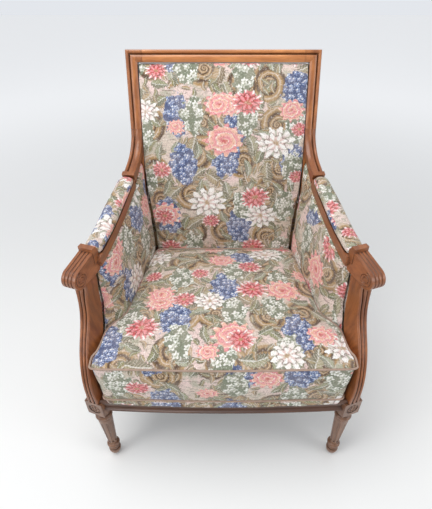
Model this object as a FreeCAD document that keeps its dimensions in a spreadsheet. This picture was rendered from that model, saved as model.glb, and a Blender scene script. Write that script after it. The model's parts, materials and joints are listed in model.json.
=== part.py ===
import FreeCAD, Part
import Sketcher
import math
import os

# Bergere armchair: a carved walnut frame with closed upholstered sides, stuffed arm pads,
# a stuffed back and one loose seat cushion that lifts out.
# Millimetres, +Z up, +Y towards the back, +X to the right of somebody facing the chair.
# Heights are above the floor and depths are behind the axes of the front legs, and every
# finished piece is then moved so that the origin is the middle of the chair's footprint.

Vector = FreeCAD.Vector
document = FreeCAD.newDocument("BergereChair")
sheet = document.addObject("Spreadsheet::Sheet", "Sizes")

SIZES = (
    ("axis_to_middle", 306.0, "front leg axes to the middle of the depth"),
    ("leg_spacing", 640.0, "between the front leg axes"),
    ("leg_turn", 20.0, "outward turn of the front blocks and arm fronts, degrees"),
    ("glide_height", 3.0, "nail glide under each foot"),
    ("glide_radius", 7.0, "nail glide"),
    ("block_side", 48.0, "square corner block over a front leg"),
    ("block_bottom", 236.0, "height of the block's lower face"),
    ("block_height", 54.0, "block"),
    ("flute_count", 8, "flutes round a leg"),
    ("flute_radius", 3.1, "flute"),
    ("flute_foot", 74.0, "height of the flutes' lower end"),
    ("flute_head", 182.0, "height of the flutes' upper end"),
    ("rosette_radius", 17.0, "sunk disc of the carved rosette"),
    ("rosette_sink", 2.0, "depth of that disc"),
    ("petal_count", 8, "petals of a rosette"),
    ("rail_bottom", 256.0, "under the seat rails"),
    ("rail_top", 284.0, "seat rails, where the webbing is tacked"),
    ("rail_lip", 297.0, "show edge of the front rail"),
    ("rail_thick", 28.0, "seat rail"),
    ("front_bow", 10.0, "forward bow of the front rail"),
    ("front_face", 31.0, "front rail's face ahead of the leg axes, at the middle"),
    ("post_outer", 267.5, "outer face of the back posts from the middle"),
    ("post_wide", 31.0, "back post and crest, seen from the front"),
    ("post_thick", 33.0, "back post through its moulded face"),
    ("rake", 17.5, "lean of the upper back from upright, degrees"),
    ("joint_depth", 555.0, "moulded face at the arm joint"),
    ("joint_height", 771.0, "arm joint on the post"),
    ("back_slope", 205.5, "along the post from the arm joint to the top"),
    ("corner_reach", 46.0, "post's mitred corner along the crest"),
    ("arm_flare", 7.8, "outward turn of the arms in plan, degrees"),
    ("arm_half", 17.0, "half the width of the arm rail"),
    ("arm_thick", 27.0, "arm rail under the pad"),
    ("hand_half", 18.0, "half the width of the hand rest"),
    ("hand_side", 314.0, "hand rest's start from the middle"),
    ("hand_depth", 162.0, "hand rest's start"),
    ("scroll_radius", 25.0, "volute of the hand rest"),
    ("scroll_ahead", 66.0, "volute centre ahead of the hand rest's start"),
    ("scroll_height", 600.0, "volute centre"),
    ("hand_under", 578.0, "underside of the hand rest"),
    ("reed_groove", 2.0, "radius of the grooves between reeds"),
    ("seat_tilt", 2.0, "backward tilt of the deck and the cushion, degrees"),
    ("cushion_bottom", 309.0, "under the cushion at its front edge"),
    ("cushion_thick", 124.0, "cushion from seam to seam"),
    ("cushion_crown", 24.0, "rise of the cushion's middle above its seams"),
    ("cushion_rear", 451.0, "back edge of the cushion"),
    ("deck_gap", 0.4, "between the covered deck and the cushion"),
    ("strap_wide", 50.0, "webbing strap"),
    ("strap_thick", 1.5, "webbing strap"),
    ("panel_thick", 4.0, "covered panel that closes the back, at its middle"),
    ("panel_edge", 1.4, "that panel at its edges"),
    ("cloth_thick", 1.2, "dust cover under the seat"),
    ("back_bar_depth", 480.0, "front of the lower back rail"),
    ("tacking_height", 322.0, "under the tacking rails"),
    ("dowel_radius", 4.0, "beech dowel"),
    ("dowel_play", 0.05, "dowel hole wider than its dowel, on the radius"),
    ("screw_radius", 1.9, "wood screw's shank"),
    ("screw_length", 55.0, "wood screw's shank"),
)


def fill_sheet():
    """Write each driving dimension to its own row: meaning, value and alias."""
    for row, (alias, number, meaning) in enumerate(SIZES, 1):
        sheet.set("A%d" % row, meaning)
        sheet.set("B%d" % row, str(number))
        sheet.setAlias("B%d" % row, alias)
    document.recompute()


def size(alias):
    """The number in the sheet's cell of that alias."""
    return float(sheet.get(alias))


fill_sheet()


# Outlines

def curves(steps, place):
    """Lines and arcs along flat steps: (x, y) goes straight, (x, y, through_x, through_y) bends."""
    drawn = []
    start = steps[0]
    for step in steps[1:]:
        if len(step) == 4:
            through = place(step[2], step[3])
            drawn.append(Part.Arc(place(start[0], start[1]), through, place(step[0], step[1])))
        else:
            drawn.append(Part.LineSegment(place(start[0], start[1]), place(step[0], step[1])))
        start = step
    return drawn


def wire(steps, place):
    """One wire along flat steps."""
    return Part.Wire([curve.toShape() for curve in curves(steps, place)])


def slab(steps, place, along):
    """A closed flat outline pushed along a vector."""
    return Part.Face(wire(steps, place)).extrude(along)


def between(table, at):
    """Value at a place in a table of (place, value), read along straight lines."""
    if at <= table[0][0]:
        return table[0][1]
    for (low, first), (high, last) in zip(table, table[1:]):
        if at <= high:
            return first + (last - first) * (at - low) / (high - low)
    return table[-1][1]


# Document objects

DRAWN = []


def new_body(label):
    """An empty body under its own name."""
    body = document.addObject("PartDesign::Body", label)
    body.Label = label
    return body


def new_sketch(body, name, role, steps=None, ahead=None):
    """A sketch on one of the body's own planes, moved ahead along its normal."""
    sketch = body.newObject("Sketcher::SketchObject", name)
    plane = [item for item in body.Origin.OriginFeatures if item.Role == role][0]
    sketch.AttachmentSupport = [(plane, "")]
    sketch.MapMode = "FlatFace"
    if ahead is not None:
        sketch.setExpression("AttachmentOffset.Base.z", ahead)
    if steps is not None:
        drawn = curves(steps, lambda x, y: Vector(x, y, 0))
        sketch.addGeometry(drawn, False)
        DRAWN.append((sketch, [curve.toShape().Length for curve in drawn]))
        ends = [(2, 1) if hasattr(curve, "Axis") and curve.Axis.z < 0 else (1, 2) for curve in sketch.Geometry]
        closed = steps[0][:2] == steps[-1][:2]
        for index in range(len(drawn) if closed else len(drawn) - 1):
            following = (index + 1) % len(drawn)
            sketch.addConstraint(Sketcher.Constraint("Coincident", index, ends[index][1], following, ends[following][0]))
    return sketch


def centred_square(sketch, alias):
    """A square about the sketch's origin, its side bound to the sheet."""
    half = size(alias) / 2
    corners = [Vector(-half, -half, 0), Vector(half, -half, 0), Vector(half, half, 0), Vector(-half, half, 0)]
    for index in range(4):
        sketch.addGeometry(Part.LineSegment(corners[index], corners[(index + 1) % 4]), False)
    for index in range(4):
        sketch.addConstraint(Sketcher.Constraint("Coincident", index, 2, (index + 1) % 4, 1))
    for index in (0, 2):
        sketch.addConstraint(Sketcher.Constraint("Horizontal", index))
        sketch.addConstraint(Sketcher.Constraint("Vertical", index + 1))
    held = [sketch.addConstraint(Sketcher.Constraint("DistanceX", 0, 1, -1, 1, half)),
            sketch.addConstraint(Sketcher.Constraint("DistanceY", 0, 1, -1, 1, half)),
            sketch.addConstraint(Sketcher.Constraint("DistanceX", -1, 1, 0, 2, half)),
            sketch.addConstraint(Sketcher.Constraint("DistanceY", -1, 1, 2, 1, half))]
    for number in held:
        sketch.setExpression("Constraints[%d]" % number, "Sizes.%s / 2" % alias)


def circle_sketch(body, name, role, alias, ahead, at):
    """A sketch that holds one circle, its radius bound to the sheet."""
    sketch = new_sketch(body, name, role, ahead=ahead)
    sketch.addGeometry(Part.Circle(Vector(at[0], at[1], 0), Vector(0, 0, 1), size(alias)), False)
    held = sketch.addConstraint(Sketcher.Constraint("Radius", 0, size(alias)))
    sketch.setExpression("Constraints[%d]" % held, "Sizes." + alias)
    return sketch


def pad(body, sketch, length, midplane=False):
    """A pad of a sketch, its length bound to an expression."""
    feature = body.newObject("PartDesign::Pad", sketch.Name + "_pad")
    feature.Profile = sketch
    feature.Midplane = midplane
    feature.setExpression("Length", length)
    sketch.Visibility = False
    return feature


def shape_object(label, shape):
    """A plain feature that holds a shape worked out from the sheet."""
    feature = document.addObject("Part::Feature", label)
    feature.Label = label
    feature.Shape = shape
    return feature


def seat_on_middle(feature):
    """Move a piece so that the origin is the middle of the chair's depth."""
    shift = FreeCAD.Placement(Vector(0, -size("axis_to_middle"), 0), FreeCAD.Rotation())
    feature.Placement = shift.multiply(feature.Placement)
    return feature


def cut_object(label, base, tools):
    """A piece cut by its neighbours, so that it seats on them face to face."""
    for number, tool in enumerate(tools, 1):
        cut = document.addObject("Part::Cut", "%s_cut_%d" % (label, number))
        cut.Base = base
        cut.Tool = tool
        cut.Refine = True
        base = cut
    base.Label = label
    return base


def fused(label, members):
    """Several objects joined into one solid."""
    feature = document.addObject("Part::MultiFuse", label)
    feature.Shapes = members
    feature.Refine = True
    feature.Label = label
    return feature


def mirrored(label, source):
    """The left-hand twin of a right-hand piece."""
    feature = document.addObject("Part::Mirroring", label)
    feature.Source = source
    feature.Base = Vector(0, 0, 0)
    feature.Normal = Vector(1, 0, 0)
    feature.Label = label
    return feature


# Frames of the chair

def side_place(u, across, height):
    """Point in the arm's plan line: u forward from the post, across outward, right-hand side."""
    flare = math.radians(size("arm_flare"))
    start_x = size("post_outer") - size("post_wide") / 2
    x = start_x + u * math.sin(flare) + across * math.cos(flare)
    y = size("joint_depth") - u * math.cos(flare) + across * math.sin(flare)
    return Vector(x, y, height)


def hand_place(u, across, height):
    """Point in the hand rest's plan line: u forward from its start, across outward."""
    turn = math.radians(size("leg_turn"))
    x = size("hand_side") + u * math.sin(turn) + across * math.cos(turn)
    y = size("hand_depth") - u * math.cos(turn) + across * math.sin(turn)
    return Vector(x, y, height)


def raked_place(across, slope, normal):
    """Point on the raked back: across from the middle, up the slope and out of its face."""
    rake = math.radians(size("rake"))
    y = size("joint_depth") + slope * math.sin(rake) - normal * math.cos(rake)
    z = size("joint_height") + slope * math.cos(rake) + normal * math.sin(rake)
    return Vector(across, y, z)


def moulding(wide, deep):
    """Section of the frame moulding: outer bead, deep groove and a broad hollow-backed ovolo."""
    bead = 0.3 * wide
    edge = 3.5
    groove = bead + 2.2
    field = groove + 1.6
    return [(0, -deep), (0, -edge), (bead, -edge, bead / 2, 0), (groove, -6.0), (field, -1.8),
            (wide - 4.5, -1.8, (field + wide - 4.5) / 2, 0), (wide, -4.2), (wide, -deep), (0, -deep)]


# Front legs

def front_leg():
    """Turned and fluted leg in one piece with its square block and carved rosettes."""
    body = new_body("front_leg_blank")
    foot = size("glide_height")
    turned = [(0, foot), (8, foot), (17, 29, 14, 14), (16, 32), (12.5, 33), (12.5, 36),
              (12.5, 45, 15.8, 40.5), (12.5, 48), (12.5, 62, 18, 55), (12.5, 65), (19.5, 192),
              (19.5, 197), (18, 199), (18, 214, 22.5, 206.5), (16.5, 214.5), (16.5, 221.5, 14.8, 218),
              (18, 222), (18, 232, 22, 227), (18, 240), (0, 240), (0, foot)]
    profile = new_sketch(body, "leg_profile", "XZ_Plane", turned)
    shaft = body.newObject("PartDesign::Revolution", "leg_shaft")
    shaft.Profile = profile
    shaft.ReferenceAxis = (profile, ["V_Axis"])
    shaft.Angle = 360.0
    square = new_sketch(body, "block_square", "XY_Plane", ahead="Sizes.block_bottom")
    centred_square(square, "block_side")
    pad(body, square, "Sizes.block_height")
    document.recompute()
    low = size("flute_foot")
    high = size("flute_head")
    lean = (19.5 - 12.5) / (192.0 - 65.0)
    path = new_sketch(body, "flute_path", "XZ_Plane",
                      [(12.5 + lean * (low - 65.0) + 1.0, low), (12.5 + lean * (high - 65.0) + 1.0, high)])
    section = circle_sketch(body, "flute_section", "XY_Plane", "flute_radius",
                            "Sizes.flute_foot", (12.5 + lean * (low - 65.0) + 1.0, 0.0))
    flute = body.newObject("PartDesign::SubtractivePipe", "flute")
    flute.Profile = section
    flute.Spine = (path, ["Edge1"])
    flutes = body.newObject("PartDesign::PolarPattern", "flutes")
    flutes.Originals = [flute]
    flutes.Axis = ([item for item in body.Origin.OriginFeatures if item.Role == "Z_Axis"][0], [""])
    flutes.Angle = 360.0
    flutes.setExpression("Occurrences", "Sizes.flute_count")
    body.Tip = flutes
    document.recompute()
    return body


def rosette_cutter(front):
    """The wood carved away round a rosette: a sunk disc less its petals and boss."""
    middle = size("block_bottom") + size("block_height") / 2
    face = -size("block_side") / 2
    sink = size("rosette_sink")
    disc = Part.makeCylinder(size("rosette_radius"), sink + 1.0, Vector(0, face - 1.0, middle), Vector(0, 1, 0))
    count = int(size("petal_count"))
    petals = []
    for index in range(count):
        angle = 2 * math.pi * index / count
        petal = Part.makeSphere(4.2)
        petal.translate(Vector(10.4 * math.sin(angle), face + sink + 1.6, middle + 10.4 * math.cos(angle)))
        petals.append(petal)
    boss = Part.makeSphere(4.4)
    boss.translate(Vector(0, face + sink + 1.2, middle))
    carved = disc.cut(Part.makeCompound(petals)).cut(boss)
    if not front:
        carved.rotate(Vector(0, 0, 0), Vector(0, 0, 1), 90.0)
    return carved


leg_blank = front_leg()
leg_carved = cut_object("front_leg_carved", leg_blank,
                        [shape_object("rosette_front", rosette_cutter(True)),
                         shape_object("rosette_side", rosette_cutter(False))])


def placed_leg():
    """The carved leg turned outward and set on its axis."""
    document.recompute()
    shape = leg_carved.Shape.copy()
    shape.rotate(Vector(0, 0, 0), Vector(0, 0, 1), size("leg_turn"))
    shape.translate(Vector(size("leg_spacing") / 2, 0, 0))
    return shape


leg_shape = placed_leg()


def leg_block():
    """The square block without its carving, which the rails and the covers end against."""
    side = size("block_side")
    block = Part.makeBox(side, side, size("block_height"), Vector(-side / 2, -side / 2, size("block_bottom")))
    block.rotate(Vector(0, 0, 0), Vector(0, 0, 1), size("leg_turn"))
    block.translate(Vector(size("leg_spacing") / 2, 0, 0))
    return block


block_shape = leg_block()


# Arms

def arm_top(u):
    """Height of the wood under the arm pad, along the arm."""
    return between(((0.0, 700.0), (100.0, 674.0), (140.0, 660.0), (220.0, 640.0), (310.0, 623.0), (420.0, 616.0)), u)


def sweep_curve():
    """Stations down the swept arm: place along the arm, height and slope of the moulded face."""
    rake = math.radians(size("rake"))
    start_slope = -math.pi / 2 + rake
    end_slope = math.radians(-19.0)
    radius = 112.0
    centre_u = -radius * math.sin(start_slope)
    centre_z = size("joint_height") + radius * math.cos(start_slope)
    stations = []
    bends = 5
    for index in range(bends + 1):
        slope = start_slope + (end_slope - start_slope) * index / bends
        stations.append((centre_u + radius * math.sin(slope), centre_z - radius * math.cos(slope), slope))
    last_u, last_z, last_slope = stations[-1]
    for step in (22.0, 44.0):
        stations.append((last_u + step * math.cos(last_slope), last_z + step * math.sin(last_slope), last_slope))
    return stations


def arm_sweep():
    """Moulded arm from the post joint, curving down and forward to the band."""
    sections = []
    stations = sweep_curve()
    for number, (u, height, slope) in enumerate(stations):
        deep = 17.0 + 13.0 * number / (len(stations) - 1)
        steps = moulding(size("post_wide"), deep)
        half = size("post_wide") / 2

        def place(x, y, u=u, height=height, slope=slope, half=half):
            return side_place(u - y * math.sin(slope), half - x, height + y * math.cos(slope))

        sections.append(wire(steps, place))
    return Part.makeLoft(sections, True, False)


def arm_band():
    """Square band that ends the moulding, just above the pad."""
    u, height, slope = sweep_curve()[-1]
    half = 17.5
    face = 1.5

    def place(along, out):
        return side_place(u + along * math.cos(slope) - out * math.sin(slope), -half,
                          height + along * math.sin(slope) + out * math.cos(slope))

    steps = [(-10, -31), (-10, face - 1.5), (-8.5, face), (2.5, face), (4, face - 1.5), (4, -31), (-10, -31)]
    across = side_place(0, 2 * half, 0) - side_place(0, 0, 0)
    return slab(steps, place, across)


def arm_bed():
    """Plain arm rail that carries the pad."""
    last_u, last_z, last_slope = sweep_curve()[-1]
    stations = (last_u - 2.0, 180.0, 260.0, 340.0, 402.0)
    thick = size("arm_thick")
    upper = [Vector(u, arm_top(u), 0) for u in stations]
    lower = [Vector(u, arm_top(u) - thick, 0) for u in reversed(stations)]
    top = Part.BSplineCurve()
    top.interpolate([side_place(point.x, -size("arm_half"), point.y) for point in upper])
    under = Part.BSplineCurve()
    under.interpolate([side_place(point.x, -size("arm_half"), point.y) for point in lower])
    ends = [Part.LineSegment(top.EndPoint, under.StartPoint), Part.LineSegment(under.EndPoint, top.StartPoint)]
    face = Part.Face(Part.Wire([top.toShape(), ends[0].toShape(), under.toShape(), ends[1].toShape()]))
    return face.extrude(side_place(0, 2 * size("arm_half"), 0) - side_place(0, 0, 0))


def hand_rest():
    """Reeded hand rest that rolls forward into a volute, with a square collar behind it."""
    radius = size("scroll_radius")
    centre_u = size("scroll_ahead")
    centre_z = size("scroll_height")
    under = size("hand_under")
    half = size("hand_half")
    start_u = 13.0
    start_z = 636.0
    reach = math.hypot(start_u - centre_u, start_z - centre_z)
    lead = math.atan2(start_z - centre_z, start_u - centre_u) - math.acos(radius / reach)
    touch = (centre_u + radius * math.cos(lead), centre_z + radius * math.sin(lead))
    tail = math.radians(-118.0)
    turn_in = (centre_u + radius * math.cos(tail), under)
    steps = [(-8, under + 10), (-8, start_z), (start_u, start_z), touch,
             (centre_u, centre_z - radius, centre_u + radius, centre_z), turn_in, (0, under), (-8, under + 10)]

    def flat(u, height):
        return hand_place(u, -half, height)

    across = hand_place(0, 2 * half, 0) - hand_place(0, 0, 0)
    rest = slab(steps, flat, across)
    rim = 1.4
    collar_steps = [(-1, 606), (-1, 646), (0.5, 647.5), (11.5, 647.5), (13, 646), (13, 606), (-1, 606)]

    def proud(u, height):
        return hand_place(u, -half - rim, height)

    collar = slab(collar_steps, proud, hand_place(0, 2 * (half + rim), 0) - hand_place(0, 0, 0))
    path = wire([(start_u, start_z), touch, (centre_u, centre_z - radius, centre_u + radius, centre_z)],
                lambda u, height: hand_place(u, 0, height))
    grooves = []
    for offset in (-9.0, 0.0, 9.0):
        spine = path.copy()
        spine.translate(hand_place(0, offset, 0) - hand_place(0, 0, 0))
        start = hand_place(start_u, offset, start_z)
        ahead = hand_place(touch[0], 0, touch[1]) - hand_place(start_u, 0, start_z)
        ring = Part.Wire(Part.makeCircle(size("reed_groove"), start, ahead))
        grooves.append(spine.makePipeShell([ring], True, False, 0))
    rest = rest.cut(Part.makeCompound(grooves))
    for side in (-1, 1):
        rest = rest.cut(scroll_groove(centre_u, centre_z, side * half))
    return rest.fuse(collar)


def scroll_groove(centre_u, centre_z, across):
    """Spiral cut into the side of the volute, in half turns that tighten towards the eye."""
    radii = (20.5, 16.5, 12.5, 9.0, 6.0)
    steps = []
    middle = centre_u
    way = 1
    for index, radius in enumerate(radii[:-1]):
        top = centre_z + radius * way
        following = radii[index + 1]
        bottom = centre_z - following * way
        if not steps:
            steps.append((centre_u, top))
        reach = (top - bottom) * way / 2
        steps.append((centre_u, bottom, middle + reach * way, (top + bottom) / 2))
        way = -way
    spine = wire(steps, lambda u, height: hand_place(u, across, height))
    ring = Part.Wire(Part.makeCircle(1.5, hand_place(steps[0][0], across, steps[0][1]),
                                     hand_place(1, 0, 0) - hand_place(0, 0, 0)))
    return spine.makePipeShell([ring], True, False, 0)


def lobe():
    """Rounded end of the arm rail's inner face, behind the collar."""
    half = size("arm_half")
    base = side_place(392.0, -half - 1.2, 606.0)
    return Part.makeCylinder(14.0, 2 * half, base, side_place(0, 1, 0) - side_place(0, 0, 0))


arm_shape = arm_sweep().fuse([arm_band(), arm_bed(), hand_rest(), lobe()]).removeSplitter()


# Arm supports

SUPPORT_STATIONS = (
    # height, centre depth, size fore and aft, width
    (290.0, -2.0, 44.0, 32.0),
    (315.0, -4.0, 43.0, 28.0),
    (345.0, -2.0, 45.0, 25.0),
    (372.0, 8.0, 50.0, 25.0),
    (396.0, 27.0, 58.0, 25.0),
    (418.0, 53.0, 66.0, 25.0),
    (440.0, 80.0, 66.0, 25.0),
    (464.0, 103.0, 58.0, 27.0),
    (494.0, 119.0, 50.0, 29.0),
    (532.0, 127.0, 45.0, 32.0),
    (578.0, 130.0, 46.0, 35.0),
)


def arm_support():
    """S-shaped support: two reeds down its front face, plain broad sides."""
    turn = math.radians(size("leg_turn"))
    sections = []
    for height, middle, deep, wide in SUPPORT_STATIONS:
        centre = Vector(size("leg_spacing") / 2 + 1.0 + 0.075 * middle, middle, height)
        half = wide / 2
        front = deep / 2
        bead = wide / 3

        def place(x, y, centre=centre):
            return centre + Vector(x * math.cos(turn) + y * math.sin(turn),
                                   x * math.sin(turn) - y * math.cos(turn), 0)

        steps = [(-half, -front), (-half, front - 3), (-half + bead - 1.2, front - 3, -half + bead / 2, front),
                 (-half + bead, front - 5), (-half + bead + 1.2, front - 1.5),
                 (half - bead - 1.2, front - 1.5, 0, front), (half - bead, front - 5), (half - bead + 1.2, front - 3),
                 (half, front - 3, half - bead / 2, front), (half, -front), (-half, -front)]
        sections.append(wire(steps, place))
    return Part.makeLoft(sections, True, False)


support_shape = arm_support().cut(arm_shape)


# Back posts and crest

def post_moulding():
    """Upper post and its mitred corner, swept up the slope and round along the crest."""
    body = new_body("post_moulding_right")
    wide = size("post_wide")
    outer = size("post_outer")
    steps = []
    for step in moulding(wide, size("post_thick")):
        moved = (outer - step[0], step[1])
        if len(step) == 4:
            moved = moved + (outer - step[2], step[3])
        steps.append(moved)
    profile = new_sketch(body, "post_section", "XZ_Plane", steps)
    top = size("back_slope")
    path = new_sketch(body, "post_path", "XY_Plane",
                      [(outer, 0), (outer, top), (outer - size("corner_reach"), top)])
    pipe = body.newObject("PartDesign::AdditivePipe", "post_sweep")
    pipe.Profile = profile
    pipe.Spine = (path, ["Edge1", "Edge2"])
    pipe.Transition = "Right corner"
    body.Placement = raked_placement()
    document.recompute()
    return body


def raked_placement():
    """Local X across, Y up the slope and Z out of the raked face."""
    turn = FreeCAD.Rotation(Vector(1, 0, 0), 90.0 - size("rake"))
    return FreeCAD.Placement(Vector(0, size("joint_depth"), size("joint_height")), turn)


POST_STATIONS = (
    # height, front depth, back depth, inner side, outer side
    (3.0, 541.0, 566.0, 240.0, 264.0),
    (120.0, 496.0, 530.0, 238.5, 266.0),
    (240.0, 462.0, 505.0, 236.5, 267.5),
    (310.0, 459.0, 503.0, 236.5, 267.5),
    (430.0, 474.0, 515.0, 236.5, 267.5),
    (600.0, 510.0, 546.0, 236.5, 267.5),
    (760.0, 555.0, 587.0, 236.5, 267.5),
    (800.0, 572.6, 598.0, 238.0, 266.0),
)


def post_stem():
    """Raked rear leg and the hidden part of the post, one curved piece."""
    sections = []
    for height, front, back, inner, outer in POST_STATIONS:
        steps = [(inner, front), (outer, front), (outer, back), (inner, back), (inner, front)]
        sections.append(wire(steps, lambda x, y, height=height: Vector(x, y, height)))
    return Part.makeLoft(sections, True, False)


def rear_post():
    upper = post_moulding().Shape
    return upper.fuse(post_stem()).cut(arm_shape).removeSplitter()


post_shape = rear_post()


def crest_rail():
    """Straight crest between the post corners, with the same moulding."""
    body = new_body("crest_blank")
    top = size("back_slope")
    steps = []
    for step in moulding(size("post_wide"), size("post_thick")):
        moved = (top - step[0], step[1])
        if len(step) == 4:
            moved = moved + (top - step[2], step[3])
        steps.append(moved)
    section = new_sketch(body, "crest_section", "YZ_Plane", steps)
    pad(body, section, "2 * (Sizes.post_outer - Sizes.corner_reach)", midplane=True)
    body.Placement = raked_placement()
    document.recompute()
    return body.Shape


crest_shape = crest_rail()


# Seat rails

def front_rail():
    """Bowed show rail: faceted bead, hollow and lower bead, turned about a far upright axis."""
    body = new_body("front_rail_blank")
    low = size("rail_bottom")
    lip = size("rail_lip")
    top = size("rail_top")
    face = -size("front_face")
    back = face + size("rail_thick")
    steps = [(back, low), (face + 2, low), (face - 1, low + 1.5), (face - 2, low + 4), (face - 1, low + 6.5),
             (face + 2, low + 8), (face + 4.5, low + 10), (face + 4.5, lip - 17), (face + 1.5, lip - 14),
             (face - 0.6, lip - 11.5), (face - 1.5, lip - 7.5), (face - 0.6, lip - 3.5), (face + 1.5, lip - 1),
             (face + 3, lip), (face + 11, lip), (face + 11, top), (back, top), (back, low)]
    section = new_sketch(body, "front_rail_section", "YZ_Plane", steps)
    half_span = size("leg_spacing") / 2
    bow_radius = (half_span ** 2 + size("front_bow") ** 2) / (2 * size("front_bow"))
    section.addGeometry(Part.LineSegment(Vector(face + bow_radius, 0, 0), Vector(face + bow_radius, 100, 0)), True)
    turned = body.newObject("PartDesign::Revolution", "front_rail_turn")
    turned.Profile = section
    turned.ReferenceAxis = (section, ["Axis0"])
    turned.Midplane = True
    turned.Angle = 2 * math.degrees(math.asin((half_span - 4.0) / bow_radius))
    document.recompute()
    return body.Shape


def side_rail():
    """Right side rail from the front block to the rear leg, moulded like the front."""
    low = size("rail_bottom")
    top = size("rail_top")
    face = 9.0
    back = face - size("rail_thick")
    steps = [(back, low), (face - 2, low), (face - 2, low + 8, face + 1.5, low + 4), (face - 4.5, low + 10),
             (face - 4.5, top - 10), (face - 2, top - 8), (face - 2, top, face + 1.5, top - 4), (back, top), (back, low)]
    return slab(steps, lambda across, height: side_place(60.0, across, height),
                side_place(545.0, 0, 0) - side_place(60.0, 0, 0))


def left_of(shape):
    """The same shape on the left-hand side."""
    return shape.mirror(Vector(0, 0, 0), Vector(1, 0, 0))


def largest(shape):
    """The main solid of a cut, without its offcuts."""
    return max(shape.Solids, key=lambda solid: solid.Volume)


def cut_away(shape, *neighbours):
    """The main solid of a shape after each neighbour has been cut from it."""
    for neighbour in neighbours:
        shape = largest(shape.cut(neighbour))
    return shape


def both(shape):
    """A right-hand shape together with its left-hand twin, as one tool."""
    return Part.makeCompound([shape, left_of(shape)])


def whole(shape, *neighbours):
    """A piece across the chair, made of its right half, cut by its neighbours, and that half's twin."""
    right = cut_away(shape.common(Part.makeBox(500, 1200, 1200, Vector(0, -300, 0))), *neighbours)
    return right.fuse(left_of(right)).removeSplitter()


front_rail_shape = whole(front_rail(), block_shape, support_shape)
side_rail_shape = cut_away(side_rail(), block_shape, post_shape)


# Joints: dowels and screws, and the holes for them

def rod_object(name, radius, reach, middle, along):
    """A round peg about its middle, its radius and length bound to expressions."""
    unit = Vector(along).normalize()
    rod = document.addObject("Part::Cylinder", name)
    rod.setExpression("Radius", radius)
    rod.Height = reach
    rod.Placement = FreeCAD.Placement(middle - unit * (reach / 2), FreeCAD.Rotation(Vector(0, 0, 1), unit))
    return rod


def joint_places():
    """Middle, direction and length of each dowel of the right-hand joints."""
    ahead = side_place(1, 0, 0) - side_place(0, 0, 0)
    sideways = Vector(1, 0, 0)
    upright = Vector(0, 0, 1)
    post_inner = size("post_outer") - size("post_wide")
    places = []
    for height in (261.0, 273.0):
        places.append((Vector(297.0, -7.0, height), sideways, 32.0))
        places.append((side_place(530.0, -4.0, height), ahead, 30.0))
        places.append((side_place(96.0, -4.0, height), ahead, 36.0))
        places.append((Vector(post_inner, 477.0, height), sideways, 32.0))
    for height in (342.0, 358.0):
        places.append((Vector(post_inner, size("back_bar_depth") + 8.0, height), sideways, 36.0))
    places.append((Vector(322.0, -2.0, 293.5), upright, 30.0))
    places.append((hand_place(36.0, 3.0, 578.0), upright, 30.0))
    for slope in (183.0, 197.0):
        places.append((raked_place(size("post_outer") - size("corner_reach"), slope, -20.0), sideways, 40.0))
    places.append((raked_place(252.0, -34.0, -22.0), raked_place(0, 0, 1) - raked_place(0, 0, 0), 22.0))
    return places


def peg_set(name, radius):
    """Pegs of one radius in every joint, left and right."""
    pegs = []
    for number, (middle, along, reach) in enumerate(joint_places(), 1):
        pegs.append(rod_object("%s_right_%d" % (name, number), radius, reach, middle, along))
        opposite = Vector(-middle.x, middle.y, middle.z)
        turned = Vector(-along.x, along.y, along.z)
        pegs.append(rod_object("%s_left_%d" % (name, number), radius, reach, opposite, turned))
    return pegs


FRONT_CORNER = Vector(300.0, 6.0, 0)
REAR_CORNER = Vector(240.0, 462.0, 0)
HALF_ROOT = math.sqrt(0.5)
FRONT_INWARD = Vector(-HALF_ROOT, HALF_ROOT, 0)
REAR_INWARD = Vector(-HALF_ROOT, -HALF_ROOT, 0)


def screw_object(name, corner, inward):
    """Countersunk screw through a glue block into the leg behind it."""
    way = FreeCAD.Rotation(Vector(0, 0, 1), inward * -1)
    top = corner + inward * 48.0 + Vector(0, 0, 267.0)
    head = document.addObject("Part::Cone", name + "_head")
    head.setExpression("Radius1", "2 * Sizes.screw_radius")
    head.setExpression("Radius2", "Sizes.screw_radius")
    head.Height = 3.4
    head.Placement = FreeCAD.Placement(top, way)
    shank = document.addObject("Part::Cylinder", name + "_shank")
    shank.setExpression("Radius", "Sizes.screw_radius")
    shank.setExpression("Height", "Sizes.screw_length")
    shank.Placement = FreeCAD.Placement(top - inward * 3.4, way)
    point = document.addObject("Part::Cone", name + "_point")
    point.setExpression("Radius1", "Sizes.screw_radius")
    point.Radius2 = 0.4
    point.Height = 5.0
    point.Placement = FreeCAD.Placement(top - inward * (3.4 + size("screw_length")), way)
    return fused(name, [head, shank, point])


def screw_set():
    """One screw in each corner block."""
    screws = []
    for name, corner, inward in (("screw_front", FRONT_CORNER, FRONT_INWARD), ("screw_rear", REAR_CORNER, REAR_INWARD)):
        screws.append(screw_object(name + "_right", corner, inward))
        screws.append(screw_object(name + "_left", Vector(-corner.x, corner.y, 0), Vector(-inward.x, inward.y, 0)))
    return screws


dowels = peg_set("dowel", "Sizes.dowel_radius")
holes = peg_set("dowel_hole", "Sizes.dowel_radius + Sizes.dowel_play")
screws = screw_set()
document.recompute()


def drilled(shape):
    """A wooden piece with the holes for its dowels and screws."""
    box = shape.BoundBox
    tools = [tool.Shape for tool in holes + screws if box.intersect(tool.Shape.BoundBox)]
    return cut_away(shape, Part.makeCompound(tools)) if tools else shape


def corner_brace(corner, inward, neighbours):
    """Glue block across an inner corner of the seat frame."""
    diagonal = Vector(-inward.y, inward.x, 0)
    middle = corner + inward * 34.0
    outline = [(-58, -14), (58, -14), (58, 14), (-58, 14), (-58, -14)]
    low = size("rail_bottom") + 2.0
    block = slab(outline, lambda a, b: Vector(0, 0, low) + middle + diagonal * a + inward * b, Vector(0, 0, 24))
    return cut_away(block, *neighbours)


# Hidden rails of the back

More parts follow.
